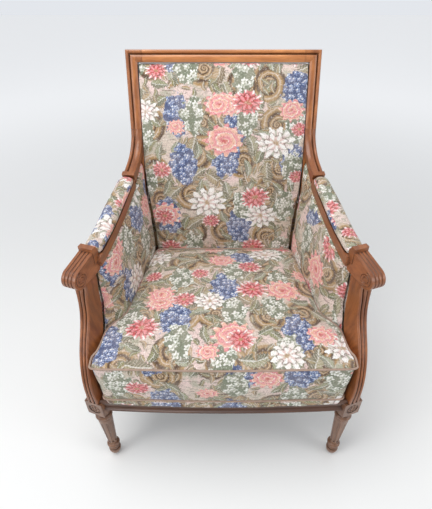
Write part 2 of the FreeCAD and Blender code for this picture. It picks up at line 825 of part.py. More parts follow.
def crossbar(name, low, high, front, thick):
    """Plain rail between the back posts, cut to their inner faces and bored for its dowels."""
    bar = document.addObject("Part::Box", name + "_blank")
    bar.setExpression("Length", "2 * (Sizes.post_outer - Sizes.post_wide) + 2")
    bar.Width = thick
    bar.Height = high - low
    bar.Placement.Base = Vector(-size("post_outer") + size("post_wide") - 1.0, front, low)
    document.recompute()
    return drilled(cut_away(bar.Shape, both(post_shape)))


rear_rail_shape = crossbar("rear_rail", size("rail_bottom"), size("rail_top"), 465.0, 25.0)
back_bar_shape = crossbar("back_lower_rail", 330.0, 370.0, size("back_bar_depth"), 16.0)


# Upholstered sides

SIDE_REAR = ((284.0, 100.0), (430.0, 84.0), (600.0, 48.0), (700.0, 20.0), (760.0, 14.0))
SIDE_FRONT = ((284.0, 534.0), (330.0, 522.0), (380.0, 490.0), (430.0, 446.0), (470.0, 416.0), (577.0, 408.0))
SIDE_FULLNESS = ((284.0, 0.95), (430.0, 0.98), (520.0, 0.82), (600.0, 0.52), (680.0, 0.4), (760.0, 0.36))


def side_outline(lift, bottom):
    """Opening of the side frame seen from the side, a little inside its members."""
    thick = size("arm_thick") + lift
    steps = [(between(SIDE_FRONT, bottom), bottom)]
    for height in (330.0, 380.0, 430.0, 470.0, 577.0):
        steps.append((between(SIDE_FRONT, height) - lift, height))
    for u in (400.0, 340.0, 260.0, 180.0, 112.0):
        steps.append((u, arm_top(u) - thick))
    for u, height in ((80.0, 655.0), (50.0, 676.0), (28.0, 702.0), (20.0, 712.0)):
        steps.append((u + lift, height - lift))
    for height in (600.0, 430.0, bottom):
        steps.append((between(SIDE_REAR, height) + lift, height))
    steps.append(steps[0])
    return steps


def inner_side():
    """Stuffed inside of the arm: full at cushion height, thin at the arm and the support."""
    sections = []
    outer = -8.0
    thin = -12.0
    for height in (280.0, 340.0, 430.0, 480.0, 540.0, 600.0, 680.0, 760.0):
        full = -46.0 * between(SIDE_FULLNESS, height)
        front = between(SIDE_FRONT, height) + 6.0
        rear = between(SIDE_REAR, height) - 6.0
        start = min(441.0, front - 7.0)
        end = start - 45.0
        steps = [(rear, outer), (front, outer), (front, thin), (start, thin),
                 (end, full, start - 14.0, (thin + full) / 2), (rear, full), (rear, outer)]
        sections.append(wire(steps, lambda u, across, height=height: side_place(u, across, height)))
    body = Part.makeLoft(sections, True, True)
    bottom = size("rail_top") + 2 * size("strap_thick") + 0.5
    frame = slab(side_outline(1.0, bottom), lambda u, height: side_place(u, -60.0, height),
                 side_place(0, 60.0, 0) - side_place(0, 0, 0))
    return cut_away(body.common(frame), arm_shape, support_shape, post_shape)


def outer_side():
    """Flat covered outside of the arm, set in the frame."""
    inner = 3.0
    outer = 8.5
    panel = slab(side_outline(-5.0, size("rail_top") + 0.5), lambda u, height: side_place(u, inner, height),
                 side_place(0, outer - inner, 0) - side_place(0, 0, 0))
    return cut_away(panel, arm_shape, support_shape, post_shape, side_rail_shape, block_shape)


def tacking_rail():
    """Thin rail low in the side frame that the inner cover is tacked to."""
    low = size("tacking_height")
    high = low + 22.0
    bar = slab([(92.0, low), (530.0, low), (530.0, high), (92.0, high), (92.0, low)],
               lambda u, height: side_place(u, -7.5, height), side_place(0, 10.0, 0) - side_place(0, 0, 0))
    return cut_away(bar, support_shape, post_shape)


def arm_pad():
    """Stuffed pad on the arm rail, crowned across and drawn in at both ends."""
    sections = []
    for u, half, rise in ((119.0, 15.0, 10.0), (127.0, 19.0, 19.0), (150.0, 21.5, 24.0), (210.0, 22.5, 27.0),
                          (300.0, 23.0, 28.0), (360.0, 22.5, 27.0), (384.0, 21.0, 24.0), (394.0, 17.0, 15.0)):
        middle = 5.0 * min(1.0, (u - 100.0) / 100.0)
        bed = arm_top(u) + 0.6
        shoulder = 0.78 * rise
        steps = [(middle - 0.8 * half, bed), (middle - 0.74 * half, bed + shoulder, middle - half, bed + 0.4 * rise),
                 (middle + 0.74 * half, bed + shoulder, middle, bed + rise),
                 (middle + 0.8 * half, bed, middle + half, bed + 0.4 * rise), (middle - 0.8 * half, bed)]
        sections.append(wire(steps, lambda across, height, u=u: side_place(u, across, height)))
    return Part.makeLoft(sections, True, False).cut(arm_shape)


# Upholstered back

BACK_STATIONS = (
    # place up the slope, front, back, half width, crown
    (-480.0, -49.0, -66.0, 217.0, 2.0),
    (-430.0, -34.0, -51.0, 215.0, 3.0),
    (-372.0, -17.5, -38.5, 213.5, 4.0),
    (-320.0, -7.0, -33.0, 215.0, 6.0),
    (-250.0, 3.0, -28.0, 221.0, 9.0),
    (-170.0, 9.0, -25.0, 232.0, 12.0),
    (-80.0, 12.0, -22.0, 235.5, 14.0),
    (30.0, 12.0, -22.0, 235.5, 14.0),
    (110.0, 8.0, -22.0, 235.5, 12.0),
    (155.0, 1.0, -22.0, 235.5, 7.0),
    (173.0, -7.0, -22.0, 235.0, 3.0),
)


def back_pad():
    """Stuffed inside back, crowned both ways and thinned out at its edges."""
    sections = []
    for slope, front, back, half, crown in BACK_STATIONS:
        edge = front - crown
        steps = [(-half, back), (-half, edge), (half, edge, 0, front), (half, back), (-half, back)]
        sections.append(wire(steps, lambda across, normal, slope=slope: raked_place(across, slope, normal)))
    pad_solid = Part.makeLoft(sections, True, False)
    return cut_away(pad_solid, both(arm_shape), both(post_shape), both(side_rail_shape), back_bar_shape,
                    rear_rail_shape, both(inner_side_shape))


OUTSIDE_STATIONS = (
    # height, rear face of the posts
    (262.0, 503.0),
    (300.0, 503.0),
    (430.0, 515.0),
    (600.0, 546.0),
    (760.0, 585.5),
    (850.0, 614.5),
    (926.0, 638.0),
)


def outside_back():
    """Covered panel that closes the back between the posts, slightly full."""
    half = size("post_outer") - size("post_wide") - 0.5
    edge = size("panel_edge")
    sections = []
    for height, rear in OUTSIDE_STATIONS:
        inner = rear - 7.2
        steps = [(-half, inner), (half, inner), (half, inner + edge),
                 (-half, inner + edge, 0, inner + size("panel_thick")), (-half, inner)]
        sections.append(wire(steps, lambda x, y, height=height: Vector(x, y, height)))
    return cut_away(Part.makeLoft(sections, True, False), both(post_shape))


# Webbing

def strap_object(name, long, across, corner, turn=None):
    """One strap of webbing, its width and thickness bound to expressions."""
    strap = document.addObject("Part::Box", name)
    strap.Length = long
    strap.setExpression("Width", "Sizes.strap_wide")
    strap.setExpression("Height", "Sizes.strap_thick")
    strap.Placement = FreeCAD.Placement(corner, turn or FreeCAD.Rotation(Vector(0, 0, 1), across))
    return strap


def seat_straps():
    """Webbing on the seat rails: five straps front to back and four across them."""
    thick = size("strap_thick")
    half_wide = size("strap_wide") / 2
    base = size("rail_top")
    straps = []
    for number, x in enumerate((-176.0, -88.0, 0.0, 88.0, 176.0), 1):
        straps.append(strap_object("seat_strap_long_%d" % number, 496.0, 90.0, Vector(x + half_wide, -10.0, base)))
    for number, y in enumerate((90.0, 180.0, 270.0, 360.0), 1):
        u = (size("joint_depth") - y) / math.cos(math.radians(size("arm_flare")))
        half = side_place(u, -12.0, 0).x - 6.0
        straps.append(strap_object("seat_strap_cross_%d" % number, 2 * half, 0.0,
                                   Vector(-half, y - half_wide, base + thick)))
    return straps


def back_straps():
    """Webbing between the back posts, just behind the stuffing."""
    half_wide = size("strap_wide") / 2
    backs = [(slope, back) for slope, front, back, half, crown in BACK_STATIONS]
    reach = size("post_outer") - size("post_wide") - 1.5
    straps = []
    for number, slope in enumerate((-345.0, -250.0, -165.0, -50.0, 45.0, 135.0), 1):
        below = between(backs, slope - half_wide) - 0.9
        above = between(backs, slope + half_wide) - 0.9
        start = raked_place(-reach, slope - half_wide, below)
        end = raked_place(-reach, slope + half_wide, above)
        lean = math.degrees(math.atan2(end.z - start.z, end.y - start.y))
        turn = FreeCAD.Rotation(Vector(1, 0, 0), lean)
        back_step = turn.multVec(Vector(0, 0, 1)) * size("strap_thick")
        corner = start if back_step.y > 0 else start - back_step
        straps.append(strap_object("back_strap_%d" % number, 2 * reach, 0.0, corner, turn))
    return straps


def compound_object(label, members):
    """Separate solids of one kind that share a node."""
    group = document.addObject("Part::Compound", label)
    group.Links = members
    group.Label = label
    return group


# Seat

def cushion_plan(inset, ear):
    """T-shaped outline of the loose cushion, its ears in front of the arm supports."""
    rear = size("cushion_rear")
    shoulder = 14.0 + 1.3 * (ear - 303.0)
    right = [(290.0, -29.0), (ear, -8.0, ear - 5.5, -23.5), (300.5, shoulder), (300.0, 84.0),
             (258.0, 149.0, 286.0, 115.0), (217.5, rear - 23.0), (196.0, rear, 211.0, rear - 6.5)]
    steps = [(-right[0][0], right[0][1]), (right[0][0], right[0][1], 0.0, -38.5)] + right[1:]
    backwards = list(reversed(right))
    steps.append((-backwards[0][0], backwards[0][1]))
    for here, there in zip(backwards, backwards[1:]):
        steps.append((-there[0], there[1]) + ((-here[2], here[3]) if len(here) == 4 else ()))
    drawn = []
    for step in steps:
        moved = []
        for x, y in zip(step[::2], step[1::2]):
            moved.append(x - math.copysign(inset, x) if abs(x) > 150.0 else x)
            moved.append(y - inset if y > 300.0 else y + inset if y < 10.0 else y)
        drawn.append(tuple(moved))
    return drawn


def cushion_part(levels, low):
    """One loft of the cushion through (height, inset, ear, scale)."""
    middle = 215.0
    sections = []
    for height, inset, ear, scale in levels:
        def place(x, y, height=height, scale=scale):
            return Vector(x * scale, middle + (y - middle) * scale, low + height)

        sections.append(wire(cushion_plan(inset, ear), place))
    return Part.makeLoft(sections, True, False)


def seat_cushion():
    """Loose cushion: full boxing, drawn in at both seams, crowned on top."""
    low = size("cushion_bottom")
    thick = size("cushion_thick")
    crown = size("cushion_crown")
    boxing = cushion_part(((0.0, 8.0, 303.0, 1.0), (0.5 * thick, 0.0, 304.0, 1.0), (thick, 3.0, 312.0, 1.0)), low)
    top = cushion_part(((thick, 3.0, 312.0, 1.0), (thick + 0.62 * crown, 3.0, 312.0, 0.84),
                        (thick + crown, 3.0, 312.0, 0.5)), low)
    cushion = boxing.fuse(top)
    cushion.rotate(Vector(0, -30, low), Vector(1, 0, 0), -size("seat_tilt"))
    return cushion


def seat_deck():
    """Covered platform under the cushion, on the webbing and over the lip of the front rail."""
    low = size("rail_top") + 2 * size("strap_thick")
    deck = slab(cushion_plan(4.0, 303.0), lambda x, y: Vector(x, y, low), Vector(0, 0, 60))
    top = size("cushion_bottom") - size("deck_gap")
    above = Part.makeBox(800, 700, 80, Vector(-400, -100, top))
    above.rotate(Vector(0, -30, top), Vector(1, 0, 0), -size("seat_tilt"))
    return cut_away(deck, above, front_rail_shape, both(block_shape), both(support_shape), both(inner_side_shape),
                    back_pad_shape)


def dust_cover():
    """Black cloth tacked under the rails, padded down from their lower faces."""
    body = new_body("dust_cover")
    right = [(284, -8), (284, 38), (300, 38), (246, 448), (228, 448), (228, 482)]
    steps = right + [(-x, y) for x, y in reversed(right)] + [right[0]]
    outline = new_sketch(body, "dust_cover_outline", "XY_Plane", steps, ahead="Sizes.rail_bottom - Sizes.cloth_thick")
    pad(body, outline, "Sizes.cloth_thick")
    return body


def glides():
    """Nail glides under the four feet."""
    half = size("leg_spacing") / 2
    discs = []
    for name, x, y in (("front_right", half, 0.0), ("front_left", -half, 0.0),
                       ("rear_right", 252.0, 553.5), ("rear_left", -252.0, 553.5)):
        disc = document.addObject("Part::Cone", "glide_" + name)
        disc.setExpression("Radius1", "Sizes.glide_radius - 1.5")
        disc.setExpression("Radius2", "Sizes.glide_radius")
        disc.setExpression("Height", "Sizes.glide_height")
        disc.Placement.Base = Vector(x, y, 0)
        discs.append(disc)
    return discs


inner_side_shape = inner_side()
back_pad_shape = back_pad()


# Finished pieces

PIECES = {}


def keep(label, piece):
    """Add a finished piece, a shape or an object, under its own name."""
    if isinstance(piece, Part.Shape):
        piece = shape_object(label, piece.Solids[0] if len(piece.Solids) == 1 else piece)
    PIECES[label] = seat_on_middle(piece)


def keep_pair(label, shape):
    """Add a right-hand piece and its left-hand twin."""
    keep(label + "_right", shape)
    PIECES[label + "_left"] = mirrored(label + "_left", PIECES[label + "_right"])


keep_pair("front_leg", drilled(leg_shape))
keep_pair("rear_post", drilled(post_shape))
keep_pair("arm", drilled(arm_shape))
keep_pair("arm_support", drilled(support_shape))
keep("crest_rail", drilled(crest_shape))
keep("back_lower_rail", back_bar_shape)
keep("front_rail", drilled(front_rail_shape))
keep_pair("side_rail", drilled(side_rail_shape))
keep("rear_rail", rear_rail_shape)
keep_pair("tacking_rail", tacking_rail())
keep_pair("front_corner_brace", drilled(corner_brace(FRONT_CORNER, FRONT_INWARD,
                                                     (front_rail_shape, side_rail_shape, block_shape))))
keep_pair("rear_corner_brace", drilled(corner_brace(REAR_CORNER, REAR_INWARD,
                                                    (rear_rail_shape, side_rail_shape, post_shape))))
keep("corner_screws", compound_object("corner_screws", screws))
keep("frame_dowels", compound_object("frame_dowels", dowels))
keep("foot_glides", compound_object("foot_glides", glides()))
keep("seat_webbing", compound_object("seat_webbing", seat_straps()))
keep("back_webbing", compound_object("back_webbing", back_straps()))
keep("dust_cover", dust_cover())
keep("seat_deck", seat_deck())
keep("back_pad", back_pad_shape)
keep("outside_back", outside_back())
keep_pair("inner_side", inner_side_shape)
keep_pair("outer_side", outer_side())
keep_pair("arm_pad", arm_pad())
keep("seat_cushion", seat_cushion())
document.recompute()


# Checks and files

for item in document.Objects:
    if "Invalid" in item.State or "Error" in item.State:
        raise RuntimeError("%s did not recompute: %s" % (item.Name, item.State))
for sketch, lengths in DRAWN:
    for curve, length in zip(sketch.Geometry, lengths):
        if abs(curve.toShape().Length - length) > 0.01:
            raise RuntimeError("a curve of %s is not the one that was drawn" % sketch.Name)
for label, feature in PIECES.items():
    if feature.Shape.isNull() or not feature.Shape.isValid():
        raise RuntimeError("%s has no valid shape" % label)

os.makedirs("parts", exist_ok=True)
for label, feature in PIECES.items():
    box = feature.Shape.BoundBox
    print("%-26s solids %2d  volume %9d  x %.1f %.1f  y %.1f %.1f  z %.1f %.1f" % (
        label, len(feature.Shape.Solids), feature.Shape.Volume, box.XMin, box.XMax, box.YMin, box.YMax, box.ZMin, box.ZMax))
    feature.Shape.exportStep("parts/%s.step" % label)
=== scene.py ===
import json
import logging
import math
from dataclasses import dataclass
from enum import Enum
from typing import Callable, Optional, Sequence, Union

import bmesh
import bpy
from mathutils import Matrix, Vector


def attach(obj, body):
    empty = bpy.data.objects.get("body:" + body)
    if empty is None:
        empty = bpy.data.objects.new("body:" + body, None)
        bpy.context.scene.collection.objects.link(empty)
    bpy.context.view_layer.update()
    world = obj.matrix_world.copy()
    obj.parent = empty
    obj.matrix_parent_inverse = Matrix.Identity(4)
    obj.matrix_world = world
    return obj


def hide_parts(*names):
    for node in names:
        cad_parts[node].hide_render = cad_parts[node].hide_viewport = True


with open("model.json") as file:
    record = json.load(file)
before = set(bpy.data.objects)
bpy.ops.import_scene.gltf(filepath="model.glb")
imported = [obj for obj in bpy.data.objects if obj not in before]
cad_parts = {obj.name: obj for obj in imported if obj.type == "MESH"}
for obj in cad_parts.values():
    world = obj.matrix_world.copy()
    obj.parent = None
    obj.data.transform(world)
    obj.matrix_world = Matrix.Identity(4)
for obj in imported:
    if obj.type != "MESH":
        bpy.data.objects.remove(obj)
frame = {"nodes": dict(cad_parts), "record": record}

# Bergere armchair: carved walnut frame, floral tapestry upholstery and a loose seat cushion.
# Metres, +Z up, +Y towards the back; the origin is the middle of the footprint.

log = logging.getLogger("bergere")
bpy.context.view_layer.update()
CHAIR = "chair"
CUSHION = "cushion"

Colour = tuple[float, float, float]
Socket = bpy.types.NodeSocket
Link = Union[float, Socket]
FULL_TURN = 6.28


class Grain(Enum):
    """Way the wood's grain runs in a piece."""

    ACROSS = (0.0, 0.0, 0.0)
    BACKWARD = (0.0, 0.0, math.radians(90.0))
    UPRIGHT = (0.0, math.radians(90.0), 0.0)


# Node trees


class Board:
    """Adds nodes to one shader tree and joins their sockets."""

    def __init__(self, tree: bpy.types.NodeTree) -> None:
        """Keep the tree that nodes are added to."""
        self.tree = tree

    def feed(self, socket: Socket, value: object) -> None:
        """Join a socket to another, or set its own value.

        Args:
            socket: the input socket.
            value: an output socket, a number or a colour.
        """
        if isinstance(value, Socket):
            self.tree.links.new(value, socket)
        elif isinstance(value, tuple) and socket.type == "RGBA":
            socket.default_value = (*value, 1.0)
        else:
            socket.default_value = value

    def node(self, kind: str, **inputs: object) -> bpy.types.Node:
        """A node with the named inputs fed.

        Args:
            kind: the node's type name.
            **inputs: values by input name, with underscores for spaces.

        Returns:
            The new node.
        """
        made = self.tree.nodes.new(kind)
        for name, value in inputs.items():
            self.feed(made.inputs[name.replace("_", " ")], value)
        return made

    def math(self, operation: str, first: Link, second: Link = 0.0, third: Link = 0.0) -> Socket:
        """The result of one arithmetic step on numbers or sockets."""
        made = self.tree.nodes.new("ShaderNodeMath")
        made.operation = operation
        for socket, value in zip(made.inputs, (first, second, third)):
            self.feed(socket, value)
        return made.outputs[0]

    def vector(self, operation: str, first: object, second: object = None,
               scale: Optional[Link] = None) -> Socket:
        """The result of one vector step: a vector, or a number for lengths and products."""
        made = self.tree.nodes.new("ShaderNodeVectorMath")
        made.operation = operation
        self.feed(made.inputs[0], first)
        if second is not None:
            self.feed(made.inputs[1], second)
        if scale is not None:
            self.feed(made.inputs["Scale"], scale)
        return made.outputs["Value" if operation in ("LENGTH", "DOT_PRODUCT") else "Vector"]

    def split(self, vector: Socket) -> tuple[Socket, ...]:
        """The three numbers of a vector."""
        return tuple(self.node("ShaderNodeSeparateXYZ", Vector=vector).outputs)

    def ease(self, value: Link, low: float, high: float, start: float = 0.0, end: float = 1.0) -> Socket:
        """A smooth step from start at low to end at high."""
        made = self.node("ShaderNodeMapRange", Value=value)
        made.interpolation_type = "SMOOTHSTEP"
        for name, number in (("From Min", low), ("From Max", high), ("To Min", start), ("To Max", end)):
            made.inputs[name].default_value = number
        return made.outputs["Result"]

    def times(self, first: Link, second: Link) -> Socket:
        """The product of two numbers or sockets."""
        return self.math("MULTIPLY", first, second)

    def minus(self, first: Link, second: Link) -> Socket:
        """One number or socket less another."""
        return self.math("SUBTRACT", first, second)

    def plus(self, first: Link, second: Link) -> Socket:
        """The sum of two numbers or sockets."""
        return self.math("ADD", first, second)

    def mix(self, share: Link, under: object, over: object) -> Socket:
        """A colour between two others."""
        made = self.tree.nodes.new("ShaderNodeMix")
        made.data_type = "RGBA"
        self.feed(made.inputs[0], share)
        self.feed(made.inputs[6], under)
        self.feed(made.inputs[7], over)
        return made.outputs[2]

    def shade(self, colour: object, factor: Link) -> Socket:
        """A colour made lighter or darker by a factor."""
        return self.vector("SCALE", colour, scale=factor)

    def noise(self, place: object, scale: float, detail: float = 3.0, rough: float = 0.5) -> Socket:
        """Cloudy noise from 0 to 1 at a place."""
        cloud = self.node("ShaderNodeTexNoise", Vector=place, Scale=scale, Detail=detail, Roughness=rough)
        return cloud.outputs[0]


@dataclass(frozen=True)
class Walnut:
    """Stained and rubbed walnut, lighter on its rounded edges where they catch the light, with painted shade
    darkening the recesses.
    """

    name: str
    light: Colour = (0.52, 0.195, 0.050)
    middle: Colour = (0.31, 0.098, 0.024)
    # Pore colour, also the colour of the painted shade in the recesses of the carving.
    dark: Colour = (0.050, 0.017, 0.008)
    grain: Grain = Grain.UPRIGHT
    gloss: float = 0.34

    def make(self) -> bpy.types.Material:
        """The finished material, on object coordinates."""
        material, board, shader = new_material(self.name)
        place = board.node("ShaderNodeTexCoord").outputs["Object"]
        turned = board.node("ShaderNodeMapping", Vector=place, Rotation=self.grain.value)
        long = board.vector("MULTIPLY", turned.outputs[0], (7.0, 60.0, 60.0))
        figure = board.noise(long, 1.0, 5.0, 0.62)
        pores = board.noise(board.vector("MULTIPLY", turned.outputs[0], (60.0, 900.0, 900.0)), 1.0, 2.0)
        wide = board.noise(place, 9.0, 2.0)
        colour = board.mix(board.ease(figure, 0.36, 0.66), self.middle, self.light)
        colour = board.mix(board.ease(wide, 0.35, 0.72, 0.0, 0.45), colour, self.middle)
        colour = board.mix(board.ease(pores, 0.60, 0.74, 0.0, 0.45), colour, self.dark)
        # Painted shade: ambient occlusion darkens the grooves and recesses of the carving towards the dark
        # tone, where shade falls.
        painted_shade_ao = board.node("ShaderNodeAmbientOcclusion", Distance=0.009)
        painted_shade_ao.samples = 6
        painted_shade_share = board.ease(painted_shade_ao.outputs["AO"], 0.35, 0.86, 0.92, 0.0)
        colour = board.mix(painted_shade_share, colour, self.dark)
        board.feed(shader.inputs["Base Color"], colour)
        shader.inputs["Roughness"].default_value = self.gloss
        shader.inputs["Coat Weight"].default_value = 0.22
        shader.inputs["Coat Roughness"].default_value = 0.22
        rounded = board.node("ShaderNodeBevel", Radius=0.0012)
        rounded.samples = 4
        bump = board.node("ShaderNodeBump", Height=pores, Strength=0.08, Distance=0.0004,
                          Normal=rounded.outputs[0])
        board.feed(shader.inputs["Normal"], bump.outputs[0])
        return material


@dataclass(frozen=True)
class Plain:
    """One-colour finish for the piping and the hidden pieces."""

    name: str
    colour: Colour
    rough: float
    metal: float = 0.0

    def make(self) -> bpy.types.Material:
        """The finished material."""
        material, board, shader = new_material(self.name)
        place = board.node("ShaderNodeTexCoord").outputs["Object"]
        cloud = board.ease(board.noise(place, 60.0, 4.0), 0.3, 0.7)
        darker = tuple(0.8 * part for part in self.colour)
        board.feed(shader.inputs["Base Color"], board.mix(cloud, darker, self.colour))
        shader.inputs["Roughness"].default_value = self.rough
        shader.inputs["Metallic"].default_value = self.metal
        return material


@dataclass(frozen=True)
class Tapestry:
    """Woven floral tapestry: blossoms, floret clusters, leaves and scrolls on a parchment ground."""

    name: str = "floral_tapestry"
    parchment: Colour = (0.67, 0.565, 0.475)
    blush: Colour = (0.76, 0.585, 0.545)
    umber: Colour = (0.105, 0.062, 0.040)
    ochre: Colour = (0.42, 0.27, 0.125)
    olive: Colour = (0.20, 0.205, 0.070)
    sage: Colour = (0.32, 0.35, 0.24)
    bottle: Colour = (0.045, 0.060, 0.048)
    coral: Colour = (0.55, 0.070, 0.070)
    rose: Colour = (0.78, 0.29, 0.31)
    peach: Colour = (0.84, 0.50, 0.36)
    white: Colour = (0.92, 0.90, 0.86)
    blue: Colour = (0.085, 0.125, 0.32)
    sky: Colour = (0.45, 0.54, 0.72)

    def make(self) -> bpy.types.Material:
        """The finished material, on the piece's own cloth map."""
        material, board, shader = new_material(self.name)
        cloth = board.node("ShaderNodeUVMap")
        cloth.uv_map = "cloth"
        flat = cloth.outputs[0]
        waver = board.node("ShaderNodeTexNoise", Vector=flat, Scale=48.0, Detail=4.0, Roughness=0.65)
        centred = board.vector("SUBTRACT", waver.outputs["Color"], (0.5, 0.5, 0.5))
        place = board.vector("ADD", flat, board.vector("SCALE", centred, scale=0.013))
        colour = self.ground(board, place)
        colour = self.scrolls(board, place, colour)
        colour = self.leaves(board, place, colour, 0.074, (0.411, 0.237), (self.ochre, self.sage), 0.45)
        colour = self.leaves(board, place, colour, 0.049, (0.011, 0.037), (self.olive, self.sage), 0.35)
        colour = self.leaves(board, place, colour, 0.027, (0.19, 0.063), (self.olive, self.ochre), 0.45)
        colour = self.florets(board, place, colour, (0.031, 0.0), 0.168, 0.0135,
                              (self.blue, self.sky), 0.60)
        colour = self.florets(board, place, colour, (0.53, 0.071), 0.139, 0.0200,
                              (self.sage, self.white), 0.62)
        colour = self.blossoms(board, place, colour, (0.64, 0.21), 0.176, (0.034, 0.020),
                               (self.blush, self.white), 0.50)
        colour = self.blossoms(board, place, colour, (0.077, 0.045), 0.137, (0.023, 0.018),
                               (self.coral, self.rose), 0.66)
        colour = self.brushwork(board, flat, colour)
        colour = self.threads(board, flat, colour)
        board.feed(shader.inputs["Base Color"], colour)
        shader.inputs["Roughness"].default_value = 0.78
        shader.inputs["Specular IOR Level"].default_value = 0.25
        shader.inputs["Sheen Weight"].default_value = 0.12
        weave = board.node("ShaderNodeTexChecker", Vector=flat, Scale=900.0)
        bump = board.node("ShaderNodeBump", Height=weave.outputs["Fac"], Strength=0.12, Distance=0.0003)
        board.feed(shader.inputs["Normal"], bump.outputs[0])
        return material

    def ground(self, board: Board, place: Socket) -> Socket:
        """Parchment ground with a blush, drifts of muted sage and fine engraved lines."""
        colour = board.mix(board.ease(board.noise(place, 11.0), 0.42, 0.58), self.parchment, self.blush)
        drift = board.noise(board.vector("ADD", place, (3.1, 1.7, 0.0)), 14.0, 5.0, 0.65)
        colour = board.mix(board.ease(drift, 0.50, 0.62, 0.0, 0.7), colour, self.sage)
        lines = board.noise(board.vector("MULTIPLY", place, (36.0, 260.0, 1.0)), 1.0, 4.0, 0.6)
        return board.mix(board.ease(lines, 0.54, 0.64, 0.0, 0.62), colour, self.umber)

    def cell(self, board: Board, place: Socket, pitch: float, shift: tuple[float, float],
             scatter: float) -> tuple[Socket, tuple[Socket, ...]]:
        """Place within the nearest motif's own cell, and three random numbers of that motif."""
        moved = board.vector("ADD", place, (shift[0], shift[1], 0.0))
        cells = board.node("ShaderNodeTexVoronoi", Vector=moved, Scale=1.0 / pitch, Randomness=scatter)
        cells.voronoi_dimensions = "2D"
        local = board.vector("SUBTRACT", moved, cells.outputs["Position"])
        return local, board.split(cells.outputs["Color"])

    def polar(self, board: Board, local: Socket, turn: Link) -> tuple[Socket, ...]:
        """Distance and angle of a place within a cell."""
        x, y, _ = board.split(local)
        return board.vector("LENGTH", local), board.plus(board.math("ARCTAN2", y, x), turn)

    def scrolls(self, board: Board, place: Socket, under: Socket) -> Socket:
        """Ochre volutes with dark rims."""
        local, chance = self.cell(board, place, 0.118, (0.21, 0.33), 0.6)
        radius, angle = self.polar(board, local, board.times(chance[0], FULL_TURN))
        reach = board.math("LOGARITHM", board.plus(radius, 0.002), 2.718)
        wound = board.plus(board.math("DIVIDE", angle, 2 * math.pi), board.times(reach, 1.35))
        lit = board.math("PINGPONG", board.math("FRACT", wound), 0.5)
        colour = board.mix(board.ease(lit, 0.05, 0.32), self.umber, self.ochre)
        colour = board.mix(board.ease(lit, 0.36, 0.5, 0.0, 0.7), colour, self.parchment)
        inside = board.ease(radius, 0.047, 0.052, 1.0, 0.0)
        return board.mix(inside, under, colour)

    def leaves(self, board: Board, place: Socket, under: Socket, pitch: float,
               shift: tuple[float, float], greens: tuple[Colour, Colour], bare: float) -> Socket:
        """Toothed leaves that curl every way, with pale veins, a shaded half and a dark rim."""
        local, chance = self.cell(board, place, pitch, shift, 0.8)
        turned = board.node("ShaderNodeVectorRotate", Vector=local, Angle=board.times(chance[0], FULL_TURN))
        turned.rotation_type = "Z_AXIS"
        x, straight, _ = board.split(turned.outputs[0])
        curl = board.times(board.minus(chance[1], 0.5), 1.6 / pitch)
        y = board.minus(straight, board.times(board.times(x, x), curl))
        along = board.math("DIVIDE", x, 0.58 * pitch)
        teeth = board.times(board.math("SINE", board.times(x, 62.0 / pitch)), 0.12)
        plain = board.minus(board.minus(1.0, board.times(along, along)), teeth)
        width = board.times(plain, 0.24 * pitch)
        aside = board.math("ABSOLUTE", y)
        gap = board.minus(width, aside)
        shown = board.times(board.ease(gap, 0.0, 0.0006), board.math("GREATER_THAN", chance[2], bare))
        swept = board.minus(x, board.times(aside, 0.9))
        ribs = board.math("FRACT", board.times(swept, 9.0 / pitch))
        green = board.mix(chance[1], greens[0], greens[1])
        green = board.mix(board.ease(y, -0.06 * pitch, 0.06 * pitch, 0.0, 0.55), green, self.bottle)
        green = board.mix(board.ease(ribs, 0.55, 0.95, 0.0, 0.55), green, self.parchment)
        green = board.mix(board.ease(aside, 0.010 * pitch, 0.03 * pitch, 0.5, 0.0), green, self.white)
        green = board.mix(board.ease(gap, 0.008 * pitch, 0.05 * pitch, 0.75, 0.0), green, self.umber)
        return board.mix(shown, under, green)

    def florets(self, board: Board, place: Socket, under: Socket,
                shift: tuple[float, float], pitch: float, floret: float, tints: tuple[Colour, Colour],
                share: float) -> Socket:
        """Rounded clusters of small five-petal florets."""
        local, chance = self.cell(board, place, pitch, shift, 0.55)
        squeezed = board.vector("MULTIPLY", local, (1.25, 0.85, 0.0))
        ragged = board.times(board.minus(board.noise(place, 42.0), 0.5), 0.06)
        reach = board.plus(board.vector("LENGTH", squeezed), ragged)
        cluster = board.times(board.ease(reach, 0.28 * pitch, 0.30 * pitch, 1.0, 0.0),
                             board.math("LESS_THAN", chance[0], share))
        small, pick = self.cell(board, place, floret, (0.007, 0.003), 0.75)
        radius, angle = self.polar(board, small, board.times(pick[0], FULL_TURN))
        lobes = board.times(board.math("COSINE", board.times(angle, 5.0)), 0.10 * floret)
        edge = board.minus(board.plus(lobes, 0.43 * floret), radius)
        petal = board.mix(board.ease(radius, 0.08 * floret, 0.36 * floret), tints[0], tints[1])
        petal = board.mix(board.times(pick[1], 0.55), petal, tints[0])
        glint = board.vector("LENGTH", board.vector("SUBTRACT", small, (-0.10 * floret, 0.12 * floret, 0.0)))
        petal = board.mix(board.ease(glint, 0.06 * floret, 0.26 * floret, 0.95, 0.0), petal, self.white)
        floor = board.mix(0.6, self.bottle, tints[0])
        colour = board.mix(board.ease(edge, 0.0, 0.07 * floret), floor, petal)
        return board.mix(cluster, under, colour)

